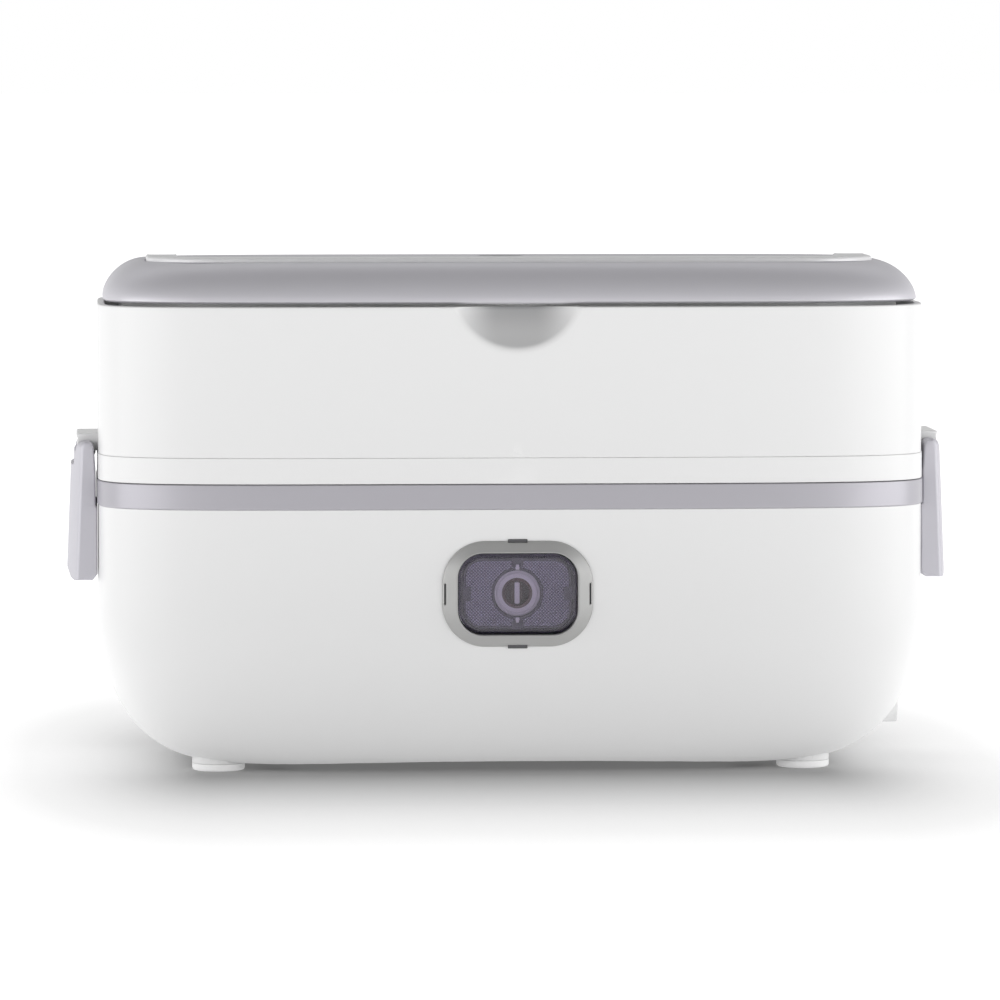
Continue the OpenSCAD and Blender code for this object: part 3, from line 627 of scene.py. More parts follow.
def make_base():
    b = Build()
    phis = [math.pi / 2 * (1 - (i / 34) ** 1.15) for i in range(35)]
    phis[-1] = 0.0
    main = ring_at(TS, HW, HD, PLAN)
    rings = [b.ring3(base_ring(p, 0.0, SHELL_Z)) for p in phis]
    rings += [b.ring(main, z) for z in (52, 58, 64, 70, 74)]
    rings += [b.ring(ring_at(TS, HW + d, HD + d, PLAN), z) for d, z in round_steps(74.9, BAND0, 0, 0.2, 3)[1:]]
    # top edge, inner skin, floor inside
    inner = [b.ring(ring_at(TS, HW - WALL, HD - WALL, PLAN), z) for z in (BAND0, 60, 46.4)]
    inner += [b.ring3(base_ring(p, WALL, SHELL_Z + 2.4)) for p in [math.pi / 2 * i / 12 for i in range(13)]]
    b.strips(rings + inner)
    b.fill(inner[-1])
    # recess for the bottom cover
    cover = by_angle(rr(72.2, 28.2, 8), [b.v[i][:2] for i in rings[0]])
    lip = b.ring3([(x, y, arch(x)) for x, y in cover])
    lip2 = b.ring3([(x * 0.998, y * 0.996, arch(x) + 0.25) for x, y in cover])
    deep = b.ring3([(x * 0.998, y * 0.996, 5.4) for x, y in cover])
    b.strips([rings[0], lip, lip2, deep])
    b.fill(deep)
    ob = b.make("base_casing")
    # foot bosses
    for sx in (-1, 1):
        for sy in (-1, 1):
            f = Build()
            f.stack(circle(7.5, sx * 83.5, sy * 25, 72), round_steps(2.0, 6.6, 0.35, 0), caps=(True, True))
            ob = boolean(ob, f.make("boss"), "UNION")
    # flat face round the power inlet
    f = Build()
    f.stack(rounded([(-17, 11.4, 3.5), (17, 11.4, 3.5), (17, 39, 3.5), (-17, 39, 3.5)]), [(0, 112.0), (0, 125)], face_x, (True, True))
    ob = boolean(ob, f.make("cut"), "DIFFERENCE")
    # boss round the power inlet
    f = Build()
    f.stack(rounded([(-17, 11.4, 3.5), (17, 11.4, 3.5), (17, 39.3, 2.2), (-17, 39.3, 2.2)]), round_steps(96.0, 112.0, 0, 0.6, 4), face_x, (True, True))
    ob = boolean(ob, f.make("boss"), "UNION")
    f = Build()
    f.stack(rounded([(-13.6, 15.5, 0.6), (13.6, 15.5, 0.6), (13.6, 35.7, 0.6), (-13.6, 35.7, 0.6)]), [(0, 88), (0, 122)], face_x, (True, True))
    ob = boolean(ob, f.make("cut"), "DIFFERENCE")
    # switch opening
    f = Build()
    f.stack(rr(LENS_X + 3, LENS_Z + 2, 8, 0, SWITCH_Z), [(0, -58), (0, -49)], face_y, (True, True))
    ob = boolean(ob, f.make("cut"), "DIFFERENCE")
    piece(ob, "base", WHITE, "white_shell", "base_shell")
    return ob


make_base()


def make_band():
    b = Build()
    main = ring_at(TS, HW, HD, PLAN)

    def s(off, z):
        return b.ring(ring_at(TS, HW + off, HD + off, PLAN), z)

    def r(hx, hy, rad, z):
        return b.ring(by_angle(rr(hx, hy, rad, seg=24), main), z)
    rings = [s(0.4 + d, z) for d, z in round_steps(BAND0, BAND1, 0.35, 0.3, 4)]
    rings += [r(108.8, 46.8, 29.8, BAND1), r(108.5, 46.5, 29.5, BAND1 - 0.1), r(108.4, 46.4, 29.4, BAND1 - 0.4), r(108.4, 46.4, 29.4, 78.8),
              r(103.6, 41.6, 24.6, 78.8), r(103.6, 41.6, 24.6, 71), s(-4.4, 71), s(-2.4, 71), s(-2.4, BAND0)]
    b.strips(rings, closed=True)
    return piece(b.make("grey_rim_band"), "base", GREY_BAND, "grey_trim", "rim_band")


make_band()


# ------------------------------------------------------------------ upper tier
def make_skirt():
    b = Build()
    main = ring_at(TS, HW, HD, PLAN)

    def s(off, z):
        return b.ring(ring_at(TS, HW + off, HD + off, PLAN), z)

    def r(hx, hy, rad, z):
        return b.ring(by_angle(rr(hx, hy, rad, seg=24), main), z)
    rings = [s(0.2 + d, z) for d, z in round_steps(SKIRT0, SKIRT1, 0.16, 0.12, 3)]
    rings += [s(-2.6, SKIRT1), s(-2.6, 93), s(-4.2, 93), s(-4.2, 86.6), r(103.5, 41.5, 25, 86.6), r(103.5, 41.5, 25, 85.2), r(103.7, 41.7, 25, 85), s(-2.4, 85), s(-2.2, 84.8), s(-2.2, SKIRT0)]
    b.strips(rings, closed=True)
    return piece(b.make("tier_foot_ring"), "tier", WHITE, "white_shell", "tier_skirt")


make_skirt()


def smax(a, b, k):
    h = max(k - abs(a - b), 0.0) / k
    return max(a, b) + h * h * k * 0.25


def scoop_front(x, y, z, r=SCOOP_R, k=0.5):
    """Pulls a point of the front wall back onto the finger scoop, with a soft rim."""
    if y > 0:
        return y
    q = r * r - x * x - (z - SCOOP_Z) ** 2
    if q <= 0:
        return y
    return smax(y, SCOOP_Y + math.sqrt(q), k)


def make_tier():
    b = Build()
    ts = TS_SCOOP
    main = ring_at(ts, HW, HD, PLAN)

    def s(off, z, cut=None):
        loop = ring_at(ts, HW + off, HD + off, PLAN)
        if cut is None:
            return b.ring(loop, z)
        return b.ring3([(x, scoop_front(x, y, z, cut, 0.5), z) for x, y in loop])

    def r(hx, hy, rad, z):
        return b.ring(by_angle(rr(hx, hy, rad, seg=24), main), z)
    zs = [96, 104, 112] + [116 + 0.5 * i for i in range(32)]
    rings = [s(d, z, SCOOP_R) for d, z in round_steps(SKIRT1 + 0.02, 95, 0.1, 0, 3)]
    rings += [s(0, z, SCOOP_R) for z in zs]
    rings += [s(d, z, SCOOP_R) for d, z in round_steps(132.0, TIER1, 0, 0.45, 4)[1:]]
    back = SCOOP_R + 1.6
    rings += [s(-WALL + 0.3, TIER1, back), s(-WALL, TIER1 - 0.3, back)] + [s(-WALL, z, back) for z in (130.5, 128.8, 127)]
    rings += [r(106.9, 44.9, 25.4, 127), r(106.9, 44.9, 25.4, 125.4)]
    rings += [s(-WALL, z, back) for z in (125.4, 123, 121, 119, 117)] + [s(-WALL, z) for z in (114, 100, SKIRT1 + 0.02)]
    b.strips(rings, closed=True)
    return piece(b.make("tier_wall"), "tier", WHITE_TIER, "white_shell", "tier_shell")


make_tier()


def mirror_x(ob, name):
    me = ob.data.copy()
    me.transform(Matrix.Scale(-1, 4, (1, 0, 0)))
    me.flip_normals()
    other = bpy.data.objects.new(name, me)
    scene.collection.objects.link(other)
    for m in ob.modifiers:
        if m.type == "WEIGHTED_NORMAL":
            k = other.modifiers.new(m.name, m.type)
            k.keep_sharp, k.weight = m.keep_sharp, m.weight
    return other


def make_bracket():
    # small cap over the pivot, with a rolled outer edge
    b = Build()
    prof = rounded([(HW - 0.9, 93.9, 0), (HW + 6.1, 93.9, 0.65), (HW + 6.1, 95.3, 0.65), (HW - 0.9, 95.3, 0)], 2.0)
    b.stack(prof, [(-0.4, -12), (-0.12, -11.88), (0, -11.6), (0, 0), (0, 11.6), (-0.12, 11.88), (-0.4, 12)], face_y, (True, True))
    roof = b.make("bracket_roof")
    # knuckle that carries the latch pin, and its neck on the wall
    b = Build()
    prof = [(PIVOT_X + PIVOT_R * math.cos(math.radians(a)), PIVOT_Z + PIVOT_R * math.sin(math.radians(a))) for a in range(-160, 1, 8)]
    prof += [(PIVOT_X + PIVOT_R - 0.1, 94.5), (HW - 0.9, 94.5), (HW - 0.9, 90.4), (HW + 0.6, 90.3), (HW + 0.6, 89.7)]
    b.stack(dense(prof, 2.0), [(-0.35, -11.95), (-0.1, -11.85), (0, -11.6), (0, 11.6), (-0.1, 11.85), (-0.35, 11.95)], face_y, (True, True))
    knuckle = b.make("bracket_knuckle")
    ob = boolean(roof, knuckle, "UNION")
    b = Build()
    b.stack(circle(1.06, PIVOT_X, PIVOT_Z, 40), [(0, -30), (0, 30)], face_y, (True, True))
    ob = boolean(ob, b.make("cut"), "DIFFERENCE")
    ob.name = "latch_bracket_right"
    left = mirror_x(ob, "latch_bracket_left")
    for o in (ob, left):
        piece(o, "tier", WHITE, "white_shell", "tier_shell")


make_bracket()


def make_ears():
    for side in (-1, 1):
        for x0 in (50.0, 70.0):
            b = Build()
            prof = [(HINGE_Y + HINGE_R * math.cos(math.radians(a)), HINGE_Z + HINGE_R * math.sin(math.radians(a))) for a in range(0, 181, 9)]
            prof += [(HINGE_Y - HINGE_R, 132.4), (HD - 1.2, 131.6), (HD - 1.2, 121.0), (HD + 0.2, 121.8), (HINGE_Y + HINGE_R - 0.5, 127.6), (HINGE_Y + HINGE_R, 128.6)]
            xa, xb = (x0, x0 + 6) if side > 0 else (-x0 - 6, -x0)
            b.stack(dense(prof, 1.5), [(-0.4, xa), (-0.1, xa + 0.12), (0, xa + 0.45), (0, xb - 0.45), (-0.1, xb - 0.12), (-0.4, xb)], face_x, (True, True))
            ob = b.make("hinge_ear_%s_%d" % ("r" if side > 0 else "l", x0))
            b = Build()
            b.stack(circle(1.42, HINGE_Y, HINGE_Z, 40), [(0, xa - 2), (0, xb + 2)], face_x, (True, True))
            ob = boolean(ob, b.make("cut"), "DIFFERENCE")
            piece(ob, "tier", WHITE, "white_shell", "tier_shell")


make_ears()


# ------------------------------------------------------------------ lid
def lid_loop(phi):
    c, s = math.cos(phi) ** (2 / 1.7), math.sin(phi) ** (2 / 1.7)
    return ring_at(TS, LID_A - LID_IN * (1 - c), LID_B - LID_IN * (1 - c), 4.6 + (PLAN - 4.6) * c), LIDS + (LIDT - LIDS) * s


def make_lid():
    b = Build()
    rings = []
    for d, z in ((-2.5, 137.0), (-2.5, 133.7), (-2.2, LID0), (-0.95, LID0), (-0.65, LID0 + 0.1), (-0.3, LID0 + 0.3)):
        rings.append(b.ring(ring_at(TS, LID_A + d, LID_B + d, PLAN), z))
    k = 30
    for i in range(k + 1):
        loop, z = lid_loop(math.pi / 2 * i / k)
        rings.append(b.ring(loop, z))
    b.strips(rings)
    b.fill(rings[0])
    # channel for the folded handle, with the finger dip behind its grip
    u = rounded([(-104, 3.4, 0.8), (-104, -38, 20.5), (104, -38, 20.5), (104, 3.4, 0.8), (94, 3.4, 0.8), (94, -25, 10.5),
                 (16.5, -25, 1.5), (15, -18, 5.5), (-15, -18, 5.5), (-16.5, -25, 1.5), (-94, -25, 10.5), (-94, 3.4, 0.8)], 3.0, 6.0)
    u = u if area(u) > 0 else u[::-1]
    rim = b.stack(u, [(0.4, LIDT), (0.27, LIDT - 0.03), (0.12, LIDT - 0.12), (0.03, LIDT - 0.27), (0, LIDT - 0.4), (0, 141.75), (-0.1, 141.5), (-0.35, 141.4)])
    # pockets under the handle's pivots
    pockets = []
    for sx in (-1, 1):
        p = rounded([(sx * 99 - 4.4, -3.5, 0.6), (sx * 99 + 4.4, -3.5, 0.6), (sx * 99 + 4.4, 2.7, 0.6), (sx * 99 - 4.4, 2.7, 0.6)], 3.0)
        st = b.stack(p, [(0.1, 141.4), (0, 141.2), (0, 139.8)])
        b.fill(st[-1])
        pockets.append(st[0])
    b.fill(rim[-1], *pockets)
    # seat of the steam valve
    seat = b.stack(circle(7.0, 0, 27, 72), [(0.35, LIDT), (0.1, LIDT - 0.1), (0, LIDT - 0.35), (0, 142.6)])
    b.fill(seat[-1])
    b.fill(rings[-1], rim[0], seat[0])
    return piece(b.make("lid_cover"), "lid", GREY_LID, "grey_lid", "lid_shell")


def area(loop):
    return 0.5 * sum(loop[i - 1][0] * loop[i][1] - loop[i][0] * loop[i - 1][1] for i in range(len(loop)))


make_lid()


def make_knuckles():
    for side in (-1, 1):
        b = Build()
        prof = [(HINGE_Y + HINGE_R * math.cos(math.radians(a)), HINGE_Z + HINGE_R * math.sin(math.radians(a))) for a in range(-180, 91, 9)]
        prof += [(HD - 3.6, HINGE_Z + HINGE_R), (HD - 3.6, HINGE_Z + 0.2), (HINGE_Y - HINGE_R - 0.02, HINGE_Z + 0.2)]
        xa, xb = (56.3, 69.7) if side > 0 else (-69.7, -56.3)
        b.stack(dense(prof, 1.5), [(-0.4, xa), (-0.1, xa + 0.12), (0, xa + 0.45), (0, xb - 0.45), (-0.1, xb - 0.12), (-0.4, xb)], face_x, (True, True))
        ob = b.make("lid_knuckle_%s" % ("r" if side > 0 else "l"))
        piece(ob, "lid", GREY_LID, "grey_lid", "lid_shell")


make_knuckles()


def make_liner():
    b = Build()
    main = ring_at(TS, HW, HD, PLAN)

    def s(off, z):
        return b.ring(ring_at(TS, LID_A + off, LID_B + off, PLAN), z)

    def r(hx, hy, rad, z):
        return b.ring(by_angle(rr(hx, hy, rad, seg=24), main), z)
    rings = [s(-2.7, 135.6), s(-2.7, 134.4), s(-2.85, 134.1), s(-3.1, 134.0)]
    rings += [r(110.9, 47.2, 28.4, 134.0), r(110.6, 46.9, 28.1, 133.8), r(110.5, 46.8, 28, 133.4), r(110.5, 46.8, 28, 129.4), r(110.3, 46.6, 27.8, 129.1), r(110.0, 46.3, 27.5, 129.0),
              r(108.9, 45.2, 26.4, 129.0), r(108.6, 44.9, 26.1, 129.2), r(108.5, 44.8, 26, 129.5), r(108.5, 44.8, 26, 133.4), r(108.3, 44.6, 25.8, 133.85), r(107.8, 44.1, 25.3, 134.0)]
    b.strips(rings)
    b.fill(rings[0])
    hole = b.stack(circle(4.2, 0, 27, 48), [(0, 134.0), (0, 135.0)])
    b.fill(hole[1])
    b.fill(rings[-1], hole[0])
    return piece(b.make("lid_inner_panel"), "lid", WHITE_IN, "white_inner", "lid_liner")


make_liner()


def make_handle():
    b = Build()
    u = rounded([(-103.5, 0, 0.3), (-103.5, -37.5, 20), (103.5, -37.5, 20), (103.5, 0, 0.3), (94.5, 0, 0.3), (94.5, -25.5, 11), (-94.5, -25.5, 11), (-94.5, 0, 0.3)], 3.0, 5.0)
    u = u if area(u) > 0 else u[::-1]
    b.stack(u, round_steps(141.7, 145.9, 0.6, 0.8, 5), None, (True, True))
    ob = b.make("carry_bail")
    for sx in (-1, 1):
        b = Build()
        xa, xb = (94.5, 103.5) if sx > 0 else (-103.5, -94.5)
        b.stack(circle(2.88, 0, 143.0, 64), round_steps(xa, xb, 0.5, 0.5, 3), face_x, (True, True))
        ob = boolean(ob, b.make("boss"), "UNION")
    return piece(ob, "handle", GREY_HANDLE, "grey_handle", "carry_handle")


make_handle()


# ------------------------------------------------------------------ latches
def make_latch():
    b = Build()
    corners = []
    for a in range(0, 181, 6):
        c, sn = math.cos(math.radians(a)), math.sin(math.radians(a))
        corners.append((PIVOT_X + (3.0 if a <= 90 else 2.1) * spow(c, 0.9), PIVOT_Z + 2.7 * spow(max(sn, 0.0), 0.9), 0))
    corners += [(HW + 0.6, 83, 0.4), (HW + 0.6, 75.2, 0.2), (HW + 0.18, 74.7, 0.2), (HW + 0.18, 55.6, 0.9), (HW + 1.6, 53.8, 0.8),
                (HW + 7.6, 53.8, 1.4), (HW + 8.8, 56.4, 2.5), (HW + 9.8, 60.5, 0), (HW + 9.8, 87.2, 0)]
    prof = rounded(corners, 1.2, 12)

    def limit(y, z):
        """Crowned outer face with a rounded upper edge, leaning out towards the bottom."""
        up = min(max(z - PIVOT_Z - 0.9, 0.0), 2.1)
        return HW + 7.5 + (PIVOT_Z - z) * 0.04016 - (91 - math.sqrt(91 * 91 - y * y)) - (2.1 - math.sqrt(2.1 * 2.1 - up * up))
    ys = [(-0.9, -22.0), (-0.6, -21.93), (-0.34, -21.76), (-0.14, -21.5), (-0.03, -21.2), (0, -20.9)]
    ys += [(0, y) for y in (-19.8, -18.6, -17.2, -15.6, -14.0, -12.4, -10.4, -8.2, -6.0, -3.8, -1.4)]
    ys = ys + [(d, -y) for d, y in reversed(ys)]
    rings = []
    for d, y in ys:
        rings.append(b.ring3([(min(x, limit(y, z) + d), y, z) for x, z in shift(prof, 0.6 * d)]))
    b.strips(rings)
    b.fill(rings[0])
    b.fill(rings[-1])
    ob = b.make("latch_r")
    b = Build()
    b.stack(rounded([(HW - 1, 86.6, 0), (HW + 12, 86.6, 0), (HW + 12, 97, 0), (HW - 1, 97, 0)]), [(0, -12.3), (0, 12.3)], face_y, (True, True))
    ob = boolean(ob, b.make("cut"), "DIFFERENCE")
    b = Build()
    b.stack(circle(1.05, PIVOT_X, PIVOT_Z, 40), [(0, -20), (0, 30)], face_y, (True, True))
    ob = boolean(ob, b.make("cut"), "DIFFERENCE")
    b = Build()
    b.stack(rr(19, 6, 1.5, 0, 66), [(0, HW - 1), (0, HW + 5.2)], face_x, (True, True))
    ob = boolean(ob, b.make("cut"), "DIFFERENCE")
    ob.name = "side_latch_right"
    left = mirror_x(ob, "side_latch_left")
    piece(ob, "right_latch", GREY_LATCH, "grey_latch", "latch_right")
    piece(left, "left_latch", GREY_LATCH, "grey_latch", "latch_left")


make_latch()


# ------------------------------------------------------------------ switch
def make_bezel():
    b = Build()
    ox, oz, orad = LENS_X + 4.65, LENS_Z + 3.7, 12.2
    ix, iz, irad = LENS_X + 0.3, LENS_Z + 0.3, 7.1
    outer = rr(ox, oz, orad, 0, 0, 24)

    def mixed(f, y):
        """Ring a share f of the way from the outer to the inner outline."""
        loop = by_angle(rr(ox + (ix - ox) * f, oz + (iz - oz) * f, orad + (irad - orad) * f, 0, 0, 24), outer)
        return b.ring([(x, z + SWITCH_Z) for x, z in loop], y, face_y)
    rings = [mixed(0.02, FRONT + 0.3), mixed(0.0, FRONT - 0.05), mixed(0.01, FRONT - 0.35), mixed(0.05, FRONT - 0.62), mixed(0.14, FRONT - 0.85), mixed(0.35, FRONT - 1.2),
             mixed(0.6, FRONT - 1.6), mixed(0.8, FRONT - 1.92), mixed(0.87, FRONT - 2.06), mixed(0.92, FRONT - 2.1), mixed(0.97, FRONT - 2.02), mixed(1.0, FRONT - 1.8), mixed(1.0, FRONT + 4.5)]
    back = by_angle(rr(LENS_X + 2.8, LENS_Z + 1.8, 7.8, 0, 0, 24), outer)
    rings += [b.ring([(x, z + SWITCH_Z) for x, z in back], y, face_y) for y in (FRONT + 4.5, FRONT + 0.3)]
    b.strips(rings, closed=True)
    ob = b.make("switch_frame")
    # snap windows at the middle of each side
    for s in (-1, 1):
        f = Build()
        f.stack(rounded([(-2.8, SWITCH_Z + s * oz - 0.55, 0.2), (2.8, SWITCH_Z + s * oz - 0.55, 0.2), (2.8, SWITCH_Z + s * oz + 0.55, 0.2), (-2.8, SWITCH_Z + s * oz + 0.55, 0.2)]),
                [(0, FRONT - 3), (0, FRONT - 0.1)], face_y, (True, True))
        ob = boolean(ob, f.make("cut"), "DIFFERENCE")
        f = Build()
        cx = s * (ox - 0.8)
        f.stack(rounded([(cx - 0.26, SWITCH_Z - 3, 0.2), (cx + 0.26, SWITCH_Z - 3, 0.2), (cx + 0.26, SWITCH_Z + 3, 0.2), (cx - 0.26, SWITCH_Z + 3, 0.2)]),
                [(0, FRONT - 3), (0, FRONT - 0.1)], face_y, (True, True))
        ob = boolean(ob, f.make("cut"), "DIFFERENCE")
    piece(ob, "base", GREY_BEZEL, "grey_trim", "switch_bezel")
    # painted shade: dark plates at the bottoms of the windows stand for the shade in them
    b = Build()
    for s in (-1, 1):
        for p in (rounded([(-2.75, SWITCH_Z + s * oz - 0.5, 0.2), (2.75, SWITCH_Z + s * oz - 0.5, 0.2), (2.75, SWITCH_Z + s * oz + 0.5, 0.2), (-2.75, SWITCH_Z + s * oz + 0.5, 0.2)]),
                  rounded([(s * (ox - 0.8) - 0.24, SWITCH_Z - 2.95, 0.2), (s * (ox - 0.8) + 0.24, SWITCH_Z - 2.95, 0.2), (s * (ox - 0.8) + 0.24, SWITCH_Z + 2.95, 0.2), (s * (ox - 0.8) - 0.24, SWITCH_Z + 2.95, 0.2)])):
            b.stack(p, [(0, FRONT + 0.2), (0, FRONT - 0.25)], face_y, (True, True))
    # painted shade in the bezel's windows
    piece(b.make("switch_window_painted_shade"), "base", DARKGAP, "black_plastic")


make_bezel()


def make_lens():
    b = Build()
    loop = rr(LENS_X, LENS_Z, 6.8, 0, SWITCH_Z, 18)
    outer = [b.ring(shift(loop, d), y, face_y) for d, y in ((-1.0, FRONT - 1.0), (-0.62, FRONT - 0.97), (-0.3, FRONT - 0.82), (-0.09, FRONT - 0.55), (0, FRONT - 0.2), (0, FRONT + 0.7))]
    b.strips(outer)
    b.fill(outer[0])
    b.fill(outer[-1])
    piece(b.make("switch_cap"), "power_button", LENS, "smoky_lens", "switch_lens")
    b = Build()
    rings = [b.ring(shift(loop, d), y, face_y) for d, y in ((0, FRONT + 0.76), (0, FRONT + 3.2), (-1.2, FRONT + 3.2), (-1.2, FRONT + 0.9), (-1.05, FRONT + 0.78), (-0.5, FRONT + 0.74))]
    b.strips(rings, closed=True)
    piece(b.make("switch_cap_skirt"), "power_button", SKIRT, "smoky_lens", "switch_lens")


make_lens()


def make_diffuser():
    # knurled plate: rows of small pyramids set at 45 degrees, cut to a rounded rectangle round the lamp
    b = Build()
    hx, hz = LENS_X - 1.75, LENS_Z - 1.75
    pitch = 0.65
    rad = 5.05
    y0 = FRONT + 1.6
    idx = {}

    def spot(u, v):
        return (u + v) * pitch / math.sqrt(2), (u - v) * pitch / math.sqrt(2)

    def vert(u, v, h):
        if (u, v) not in idx:
            x, z = spot(u, v)
            idx[u, v] = len(b.v)
            b.v.append((x, y0 - h, z + SWITCH_Z))
        return idx[u, v]
    reach = int(34 / pitch)
    for i in range(-reach, reach):
        for j in range(-reach, reach):
            x, z = spot(i + 0.5, j + 0.5)
            ax, az = max(abs(x) - (hx - rad), 0), max(abs(z) - (hz - rad), 0)
            if math.hypot(ax, az) > rad or math.hypot(x, z) < 6.95:
                continue
            top = vert(i + 0.5, j + 0.5, 0.3)
            q = [vert(i, j, 0), vert(i + 1, j, 0), vert(i + 1, j + 1, 0), vert(i, j + 1, 0)]
            b.f += [(q[k], q[(k + 1) % 4], top) for k in range(4)]
    me = bpy.data.meshes.new("knurl")
    me.from_pydata([tuple(c * MM for c in p) for p in b.v], [], b.f)
    bm = bmesh.new()
    bm.from_mesh(me)
    bmesh.ops.recalc_face_normals(bm, faces=bm.faces)
    # close the plate behind the knurl
    ret = bmesh.ops.extrude_face_region(bm, geom=bm.faces[:])
    for v in [g for g in ret["geom"] if isinstance(g, bmesh.types.BMVert)]:
        v.co.y = (FRONT + 2.1) * MM
    bmesh.ops.recalc_face_normals(bm, faces=bm.faces)
    bm.to_mesh(me)
    bm.free()
    ob = bpy.data.objects.new("knurled_plate", me)
    scene.collection.objects.link(ob)
    piece(ob, "power_button", DIFFUSER, "diffuser", "switch_diffuser")
    # smooth border and the small tabs at the middle of each side
    b = Build()
    loop = rr(LENS_X - 1.3, LENS_Z - 1.3, 5.5, 0, SWITCH_Z, 18)
    rings = [b.ring(shift(loop, d), y, face_y) for d, y in ((0, FRONT + 2.0), (0, FRONT + 1.2), (-0.12, FRONT + 1.08), (-0.6, FRONT + 1.08), (-0.75, FRONT + 1.2), (-0.75, FRONT + 2.0))]
    b.strips(rings, closed=True)
    for sx, sz, w, h in ((0, 1, 1.6, 1.3), (0, -1, 1.6, 1.3), (1, 0, 1.2, 1.9), (-1, 0, 1.2, 1.9)):
        cx, cz = sx * (LENS_X - 2.3), SWITCH_Z + sz * (LENS_Z - 2.4)
        b.stack(rounded([(cx - w, cz - h, 0.25), (cx + w, cz - h, 0.25), (cx + w, cz + h, 0.25), (cx - w, cz + h, 0.25)]), [(0, FRONT + 2.0), (0, FRONT + 1.1), (-0.1, FRONT + 1.03)], face_y, (True, True))
    # rim round the lamp's hole
    rings = [b.ring(circle(r, 0, SWITCH_Z, 96), y, face_y) for r, y in ((6.55, FRONT + 2.0), (6.55, FRONT + 1.3), (6.65, FRONT + 1.2), (7.2, FRONT + 1.2), (7.35, FRONT + 1.35), (7.35, FRONT + 2.0))]
    b.strips(rings, closed=True)
    piece(b.make("plate_border"), "power_button", BORDER, "diffuser")
    # pale ribs above and below the lamp
    b = Build()
    for s in (-1, 1):
        cz = SWITCH_Z + s * 7.5
        b.stack(rounded([(-0.55, cz - 0.8, 0.3), (0.55, cz - 0.8, 0.3), (0.55, cz + 0.8, 0.3), (-0.55, cz + 0.8, 0.3)]), [(0, FRONT + 2.0), (0, FRONT + 1.1), (-0.15, FRONT + 1.02)], face_y, (True, True))
    piece(b.make("plate_ribs"), "power_button", LAMPRING, "diffuser")


make_diffuser()


def make_lamp_cup():
    b = Build()
    rings = [b.ring(circle(r, 0, SWITCH_Z, 64), y, face_y) for r, y in ((4.25, FRONT + 3.0), (4.25, FRONT + 7.9), (4.0, FRONT + 8.2), (3.6, FRONT + 8.2), (3.5, FRONT + 7.4), (3.35, FRONT + 3.2), (3.55, FRONT + 2.95))]
    b.strips(rings, closed=True)
    disc = b.ring(circle(3.7, 0, SWITCH_Z, 64), FRONT + 7.9, face_y)
    disc2 = b.ring(circle(3.7, 0, SWITCH_Z, 64), FRONT + 8.3, face_y)
    b.strip(disc, disc2)
    b.fill(disc)
    b.fill(disc2)
    piece(b.make("lamp_cup"), "base", LAMPCUP, "lamp_holder")
    # pale bar of the lamp behind the cap
    b = Build()
    b.stack(rounded([(-0.75, SWITCH_Z - 3.1, 0.5), (0.75, SWITCH_Z - 3.1, 0.5), (0.75, SWITCH_Z + 3.1, 0.5), (-0.75, SWITCH_Z + 3.1, 0.5)]), [(0, FRONT + 4.0), (0, FRONT + 3.3), (-0.2, FRONT + 3.1)], face_y, (True, True))
    piece(b.make("lamp_bar"), "base", LAMPRING, "lamp_holder")


make_lamp_cup()


def make_ring_beads():
    b = Build()
    for r in (6.35, 5.6):
        rings = [b.ring(circle(r + 0.16 * math.cos(a), 0, SWITCH_Z, 96), FRONT + 2.86 - 0.16 * math.sin(a), face_y) for a in [math.tau * k / 8 for k in range(8)]]
        b.strips(rings, closed=True)
    piece(b.make("lamp_ring_beads"), "base", BEAD, "lamp_holder")


make_ring_beads()

# ------------------------------------------------------------------ stage, light and camera
# painted light on the floor: FLOOR_GLOW is the seen glow, low round the object as a painted shadow; BOUNCE is the glow
# that lights the object
FLOOR_GLOW = (0.65, 0.40)
BOUNCE = (0.23, 0.95)


def make_floor():
    b = Build()
    b.ring([(-30000, -30000), (30000, -30000), (30000, 30000), (-30000, 30000)], -0.02)
    b.f.append((0, 1, 2, 3))
    me = bpy.data.meshes.new("studio_floor")
    me.from_pydata([tuple(c * MM for c in p) for p in b.v], [], b.f)
    ob = bpy.data.objects.new("studio_floor", me)
    scene.collection.objects.link(ob)
    m = Mat("pale_floor")
    m.set(Roughness=0.9, Specular_IOR_Level=0.0, Emission_Color=(1, 1, 1, 1))
    # painted light and shadow: the paper glows more and more away from the object's footprint, which leaves a painted
    # shadow round it
    sep = m.n("ShaderNodeSeparateXYZ")
    m.link(m.co, sep.inputs[0])
    ex = m.math("MULTIPLY", m.math("MAXIMUM", m.math("SUBTRACT", m.math("ABSOLUTE", sep.outputs[0], 0.0), 0.085), 0.0), 3.0)
    ey = m.math("MAXIMUM", m.math("SUBTRACT", m.math("ABSOLUTE", sep.outputs[1], 0.0), 0.030), 0.0)
    far = m.math("SQRT", m.math("ADD", m.math("MULTIPLY", ex, ex), m.math("MULTIPLY", ey, ey)), 0.0)
    near = m.ramp(far, 0.015, 0.19, 1.0, 0.0)
    glow = m.math("MULTIPLY", m.math("SUBTRACT", 1.0, m.math("MULTIPLY", near, near)), FLOOR_GLOW[0])
    glow = m.math("ADD", glow, m.ramp(far, 0.16, 0.34, 0.0, FLOOR_GLOW[1]))
    # painted bounce light: the glow that the paper throws back on the object rises more gently
    eye = m.n("ShaderNodeLightPath").outputs["Is Camera Ray"]
    glow = m.math("ADD", m.math("MULTIPLY", glow, eye), m.math("MULTIPLY", m.math("SUBTRACT", 1.0, eye), m.ramp(far, 0.0, 0.22, *BOUNCE)))
    m.link(glow, m.b.inputs["Emission Strength"])
    ob.data.materials.append(m.out(m.mix(m.ramp(m.noise(3.0, 2.0), 0.4, 0.7, 0.0, 1.0), (0.54, 0.54, 0.54, 1), (0.53, 0.53, 0.53, 1))))


make_floor()


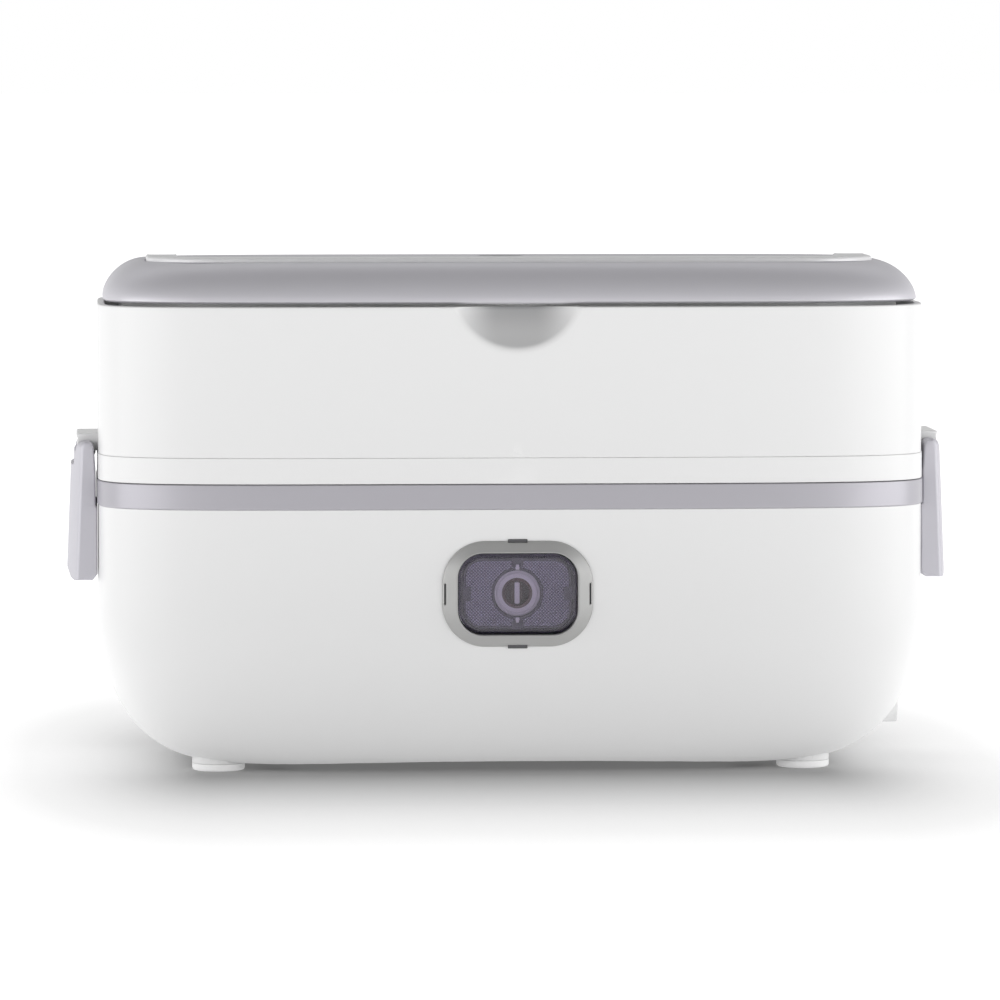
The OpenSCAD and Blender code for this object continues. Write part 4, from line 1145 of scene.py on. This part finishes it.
def make_world():
    w = bpy.data.worlds.new("soft_studio")
    scene.world = w
    w.use_nodes = True
    t = w.node_tree
    t.nodes.clear()

    def nd(kind, **v):
        n = t.nodes.new(kind)
        for k, x in v.items():
            setattr(n, k, x)
        return n

    def calc(op, a, b=0.0, clamp=False):
        n = nd("ShaderNodeMath", operation=op, use_clamp=clamp)
        for i, x in enumerate((a, b)):
            if isinstance(x, (int, float)):
                n.inputs[i].default_value = x
            else:
                t.links.new(x, n.inputs[i])
        return n.outputs[0]
    tc = nd("ShaderNodeTexCoord")
    sep = nd("ShaderNodeSeparateXYZ")
    t.links.new(tc.outputs["Generated"], sep.inputs[0])
    x, y, z = sep.outputs
    side = calc("POWER", calc("ABSOLUTE", x), 1.6)
    up = calc("MAXIMUM", z, 0.0)
    fore = calc("MAXIMUM", calc("MULTIPLY", y, -1.0), 0.0)
    # a pale room behind, dimmer in front and overhead
    back = calc("MAXIMUM", y, 0.0)
    low = calc("MAXIMUM", calc("SUBTRACT", 1.0, calc("MULTIPLY", up, 3.0)), 0.0)
    low = calc("MULTIPLY", calc("MULTIPLY", low, low), calc("ADD", 0.30, calc("MULTIPLY", fore, 0.70)))
    lev = calc("ADD", 0.06, calc("MULTIPLY", back, 0.58))
    lev = calc("ADD", lev, calc("MULTIPLY", side, 0.62))
    lev = calc("SUBTRACT", lev, calc("MULTIPLY", up, 0.06))
    lev = calc("MAXIMUM", lev, 0.02)
    lev = calc("ADD", lev, calc("MULTIPLY", low, 0.92))
    light = nd("ShaderNodeBackground")
    t.links.new(lev, light.inputs["Strength"])
    light.inputs["Color"].default_value = (1, 1, 1, 1)
    seen = nd("ShaderNodeBackground")
    seen.inputs["Color"].default_value = (1, 1, 1, 1)
    seen.inputs["Strength"].default_value = 1.0
    path = nd("ShaderNodeLightPath")
    mx = nd("ShaderNodeMixShader")
    out = nd("ShaderNodeOutputWorld")
    t.links.new(path.outputs["Is Camera Ray"], mx.inputs[0])
    t.links.new(light.outputs[0], mx.inputs[1])
    t.links.new(seen.outputs[0], mx.inputs[2])
    t.links.new(mx.outputs[0], out.inputs["Surface"])


make_world()


def soft_light(name, loc, aim, size, power):
    d = bpy.data.lights.new(name, "AREA")
    d.shape = "RECTANGLE"
    d.size, d.size_y = size
    d.energy = power
    ob = bpy.data.objects.new(name, d)
    scene.collection.objects.link(ob)
    ob.location = loc
    ob.rotation_euler = (Vector(aim) - Vector(loc)).to_track_quat("-Z", "Y").to_euler()
    return ob


for side in (-1, 1):
    soft_light("side_panel_%s" % ("r" if side > 0 else "l"), (side * 1.15, -0.60, 0.28), (0, 0, 0.09), (1.5, 0.6), 7.0 if side > 0 else 5.6)
soft_light("top_back", (0.0, 0.9, 1.25), (0, 0.0, 0.05), (1.6, 0.7), 2.5)

cam = bpy.data.cameras.new("camera")
cam.lens = 250.2
cam.sensor_width = 36
cam.clip_start, cam.clip_end = 0.05, 200
cam_ob = bpy.data.objects.new("camera", cam)
scene.collection.objects.link(cam_ob)
yaw, pitch = math.radians(-3.4512), math.radians(3.705)
cam_ob.location = (-0.1221, -1.9963, 0.2044)
cam_ob.rotation_euler = (math.pi / 2 - pitch, 0, yaw)
scene.camera = cam_ob

scene.view_settings.view_transform = "Standard"
scene.view_settings.look = "None"
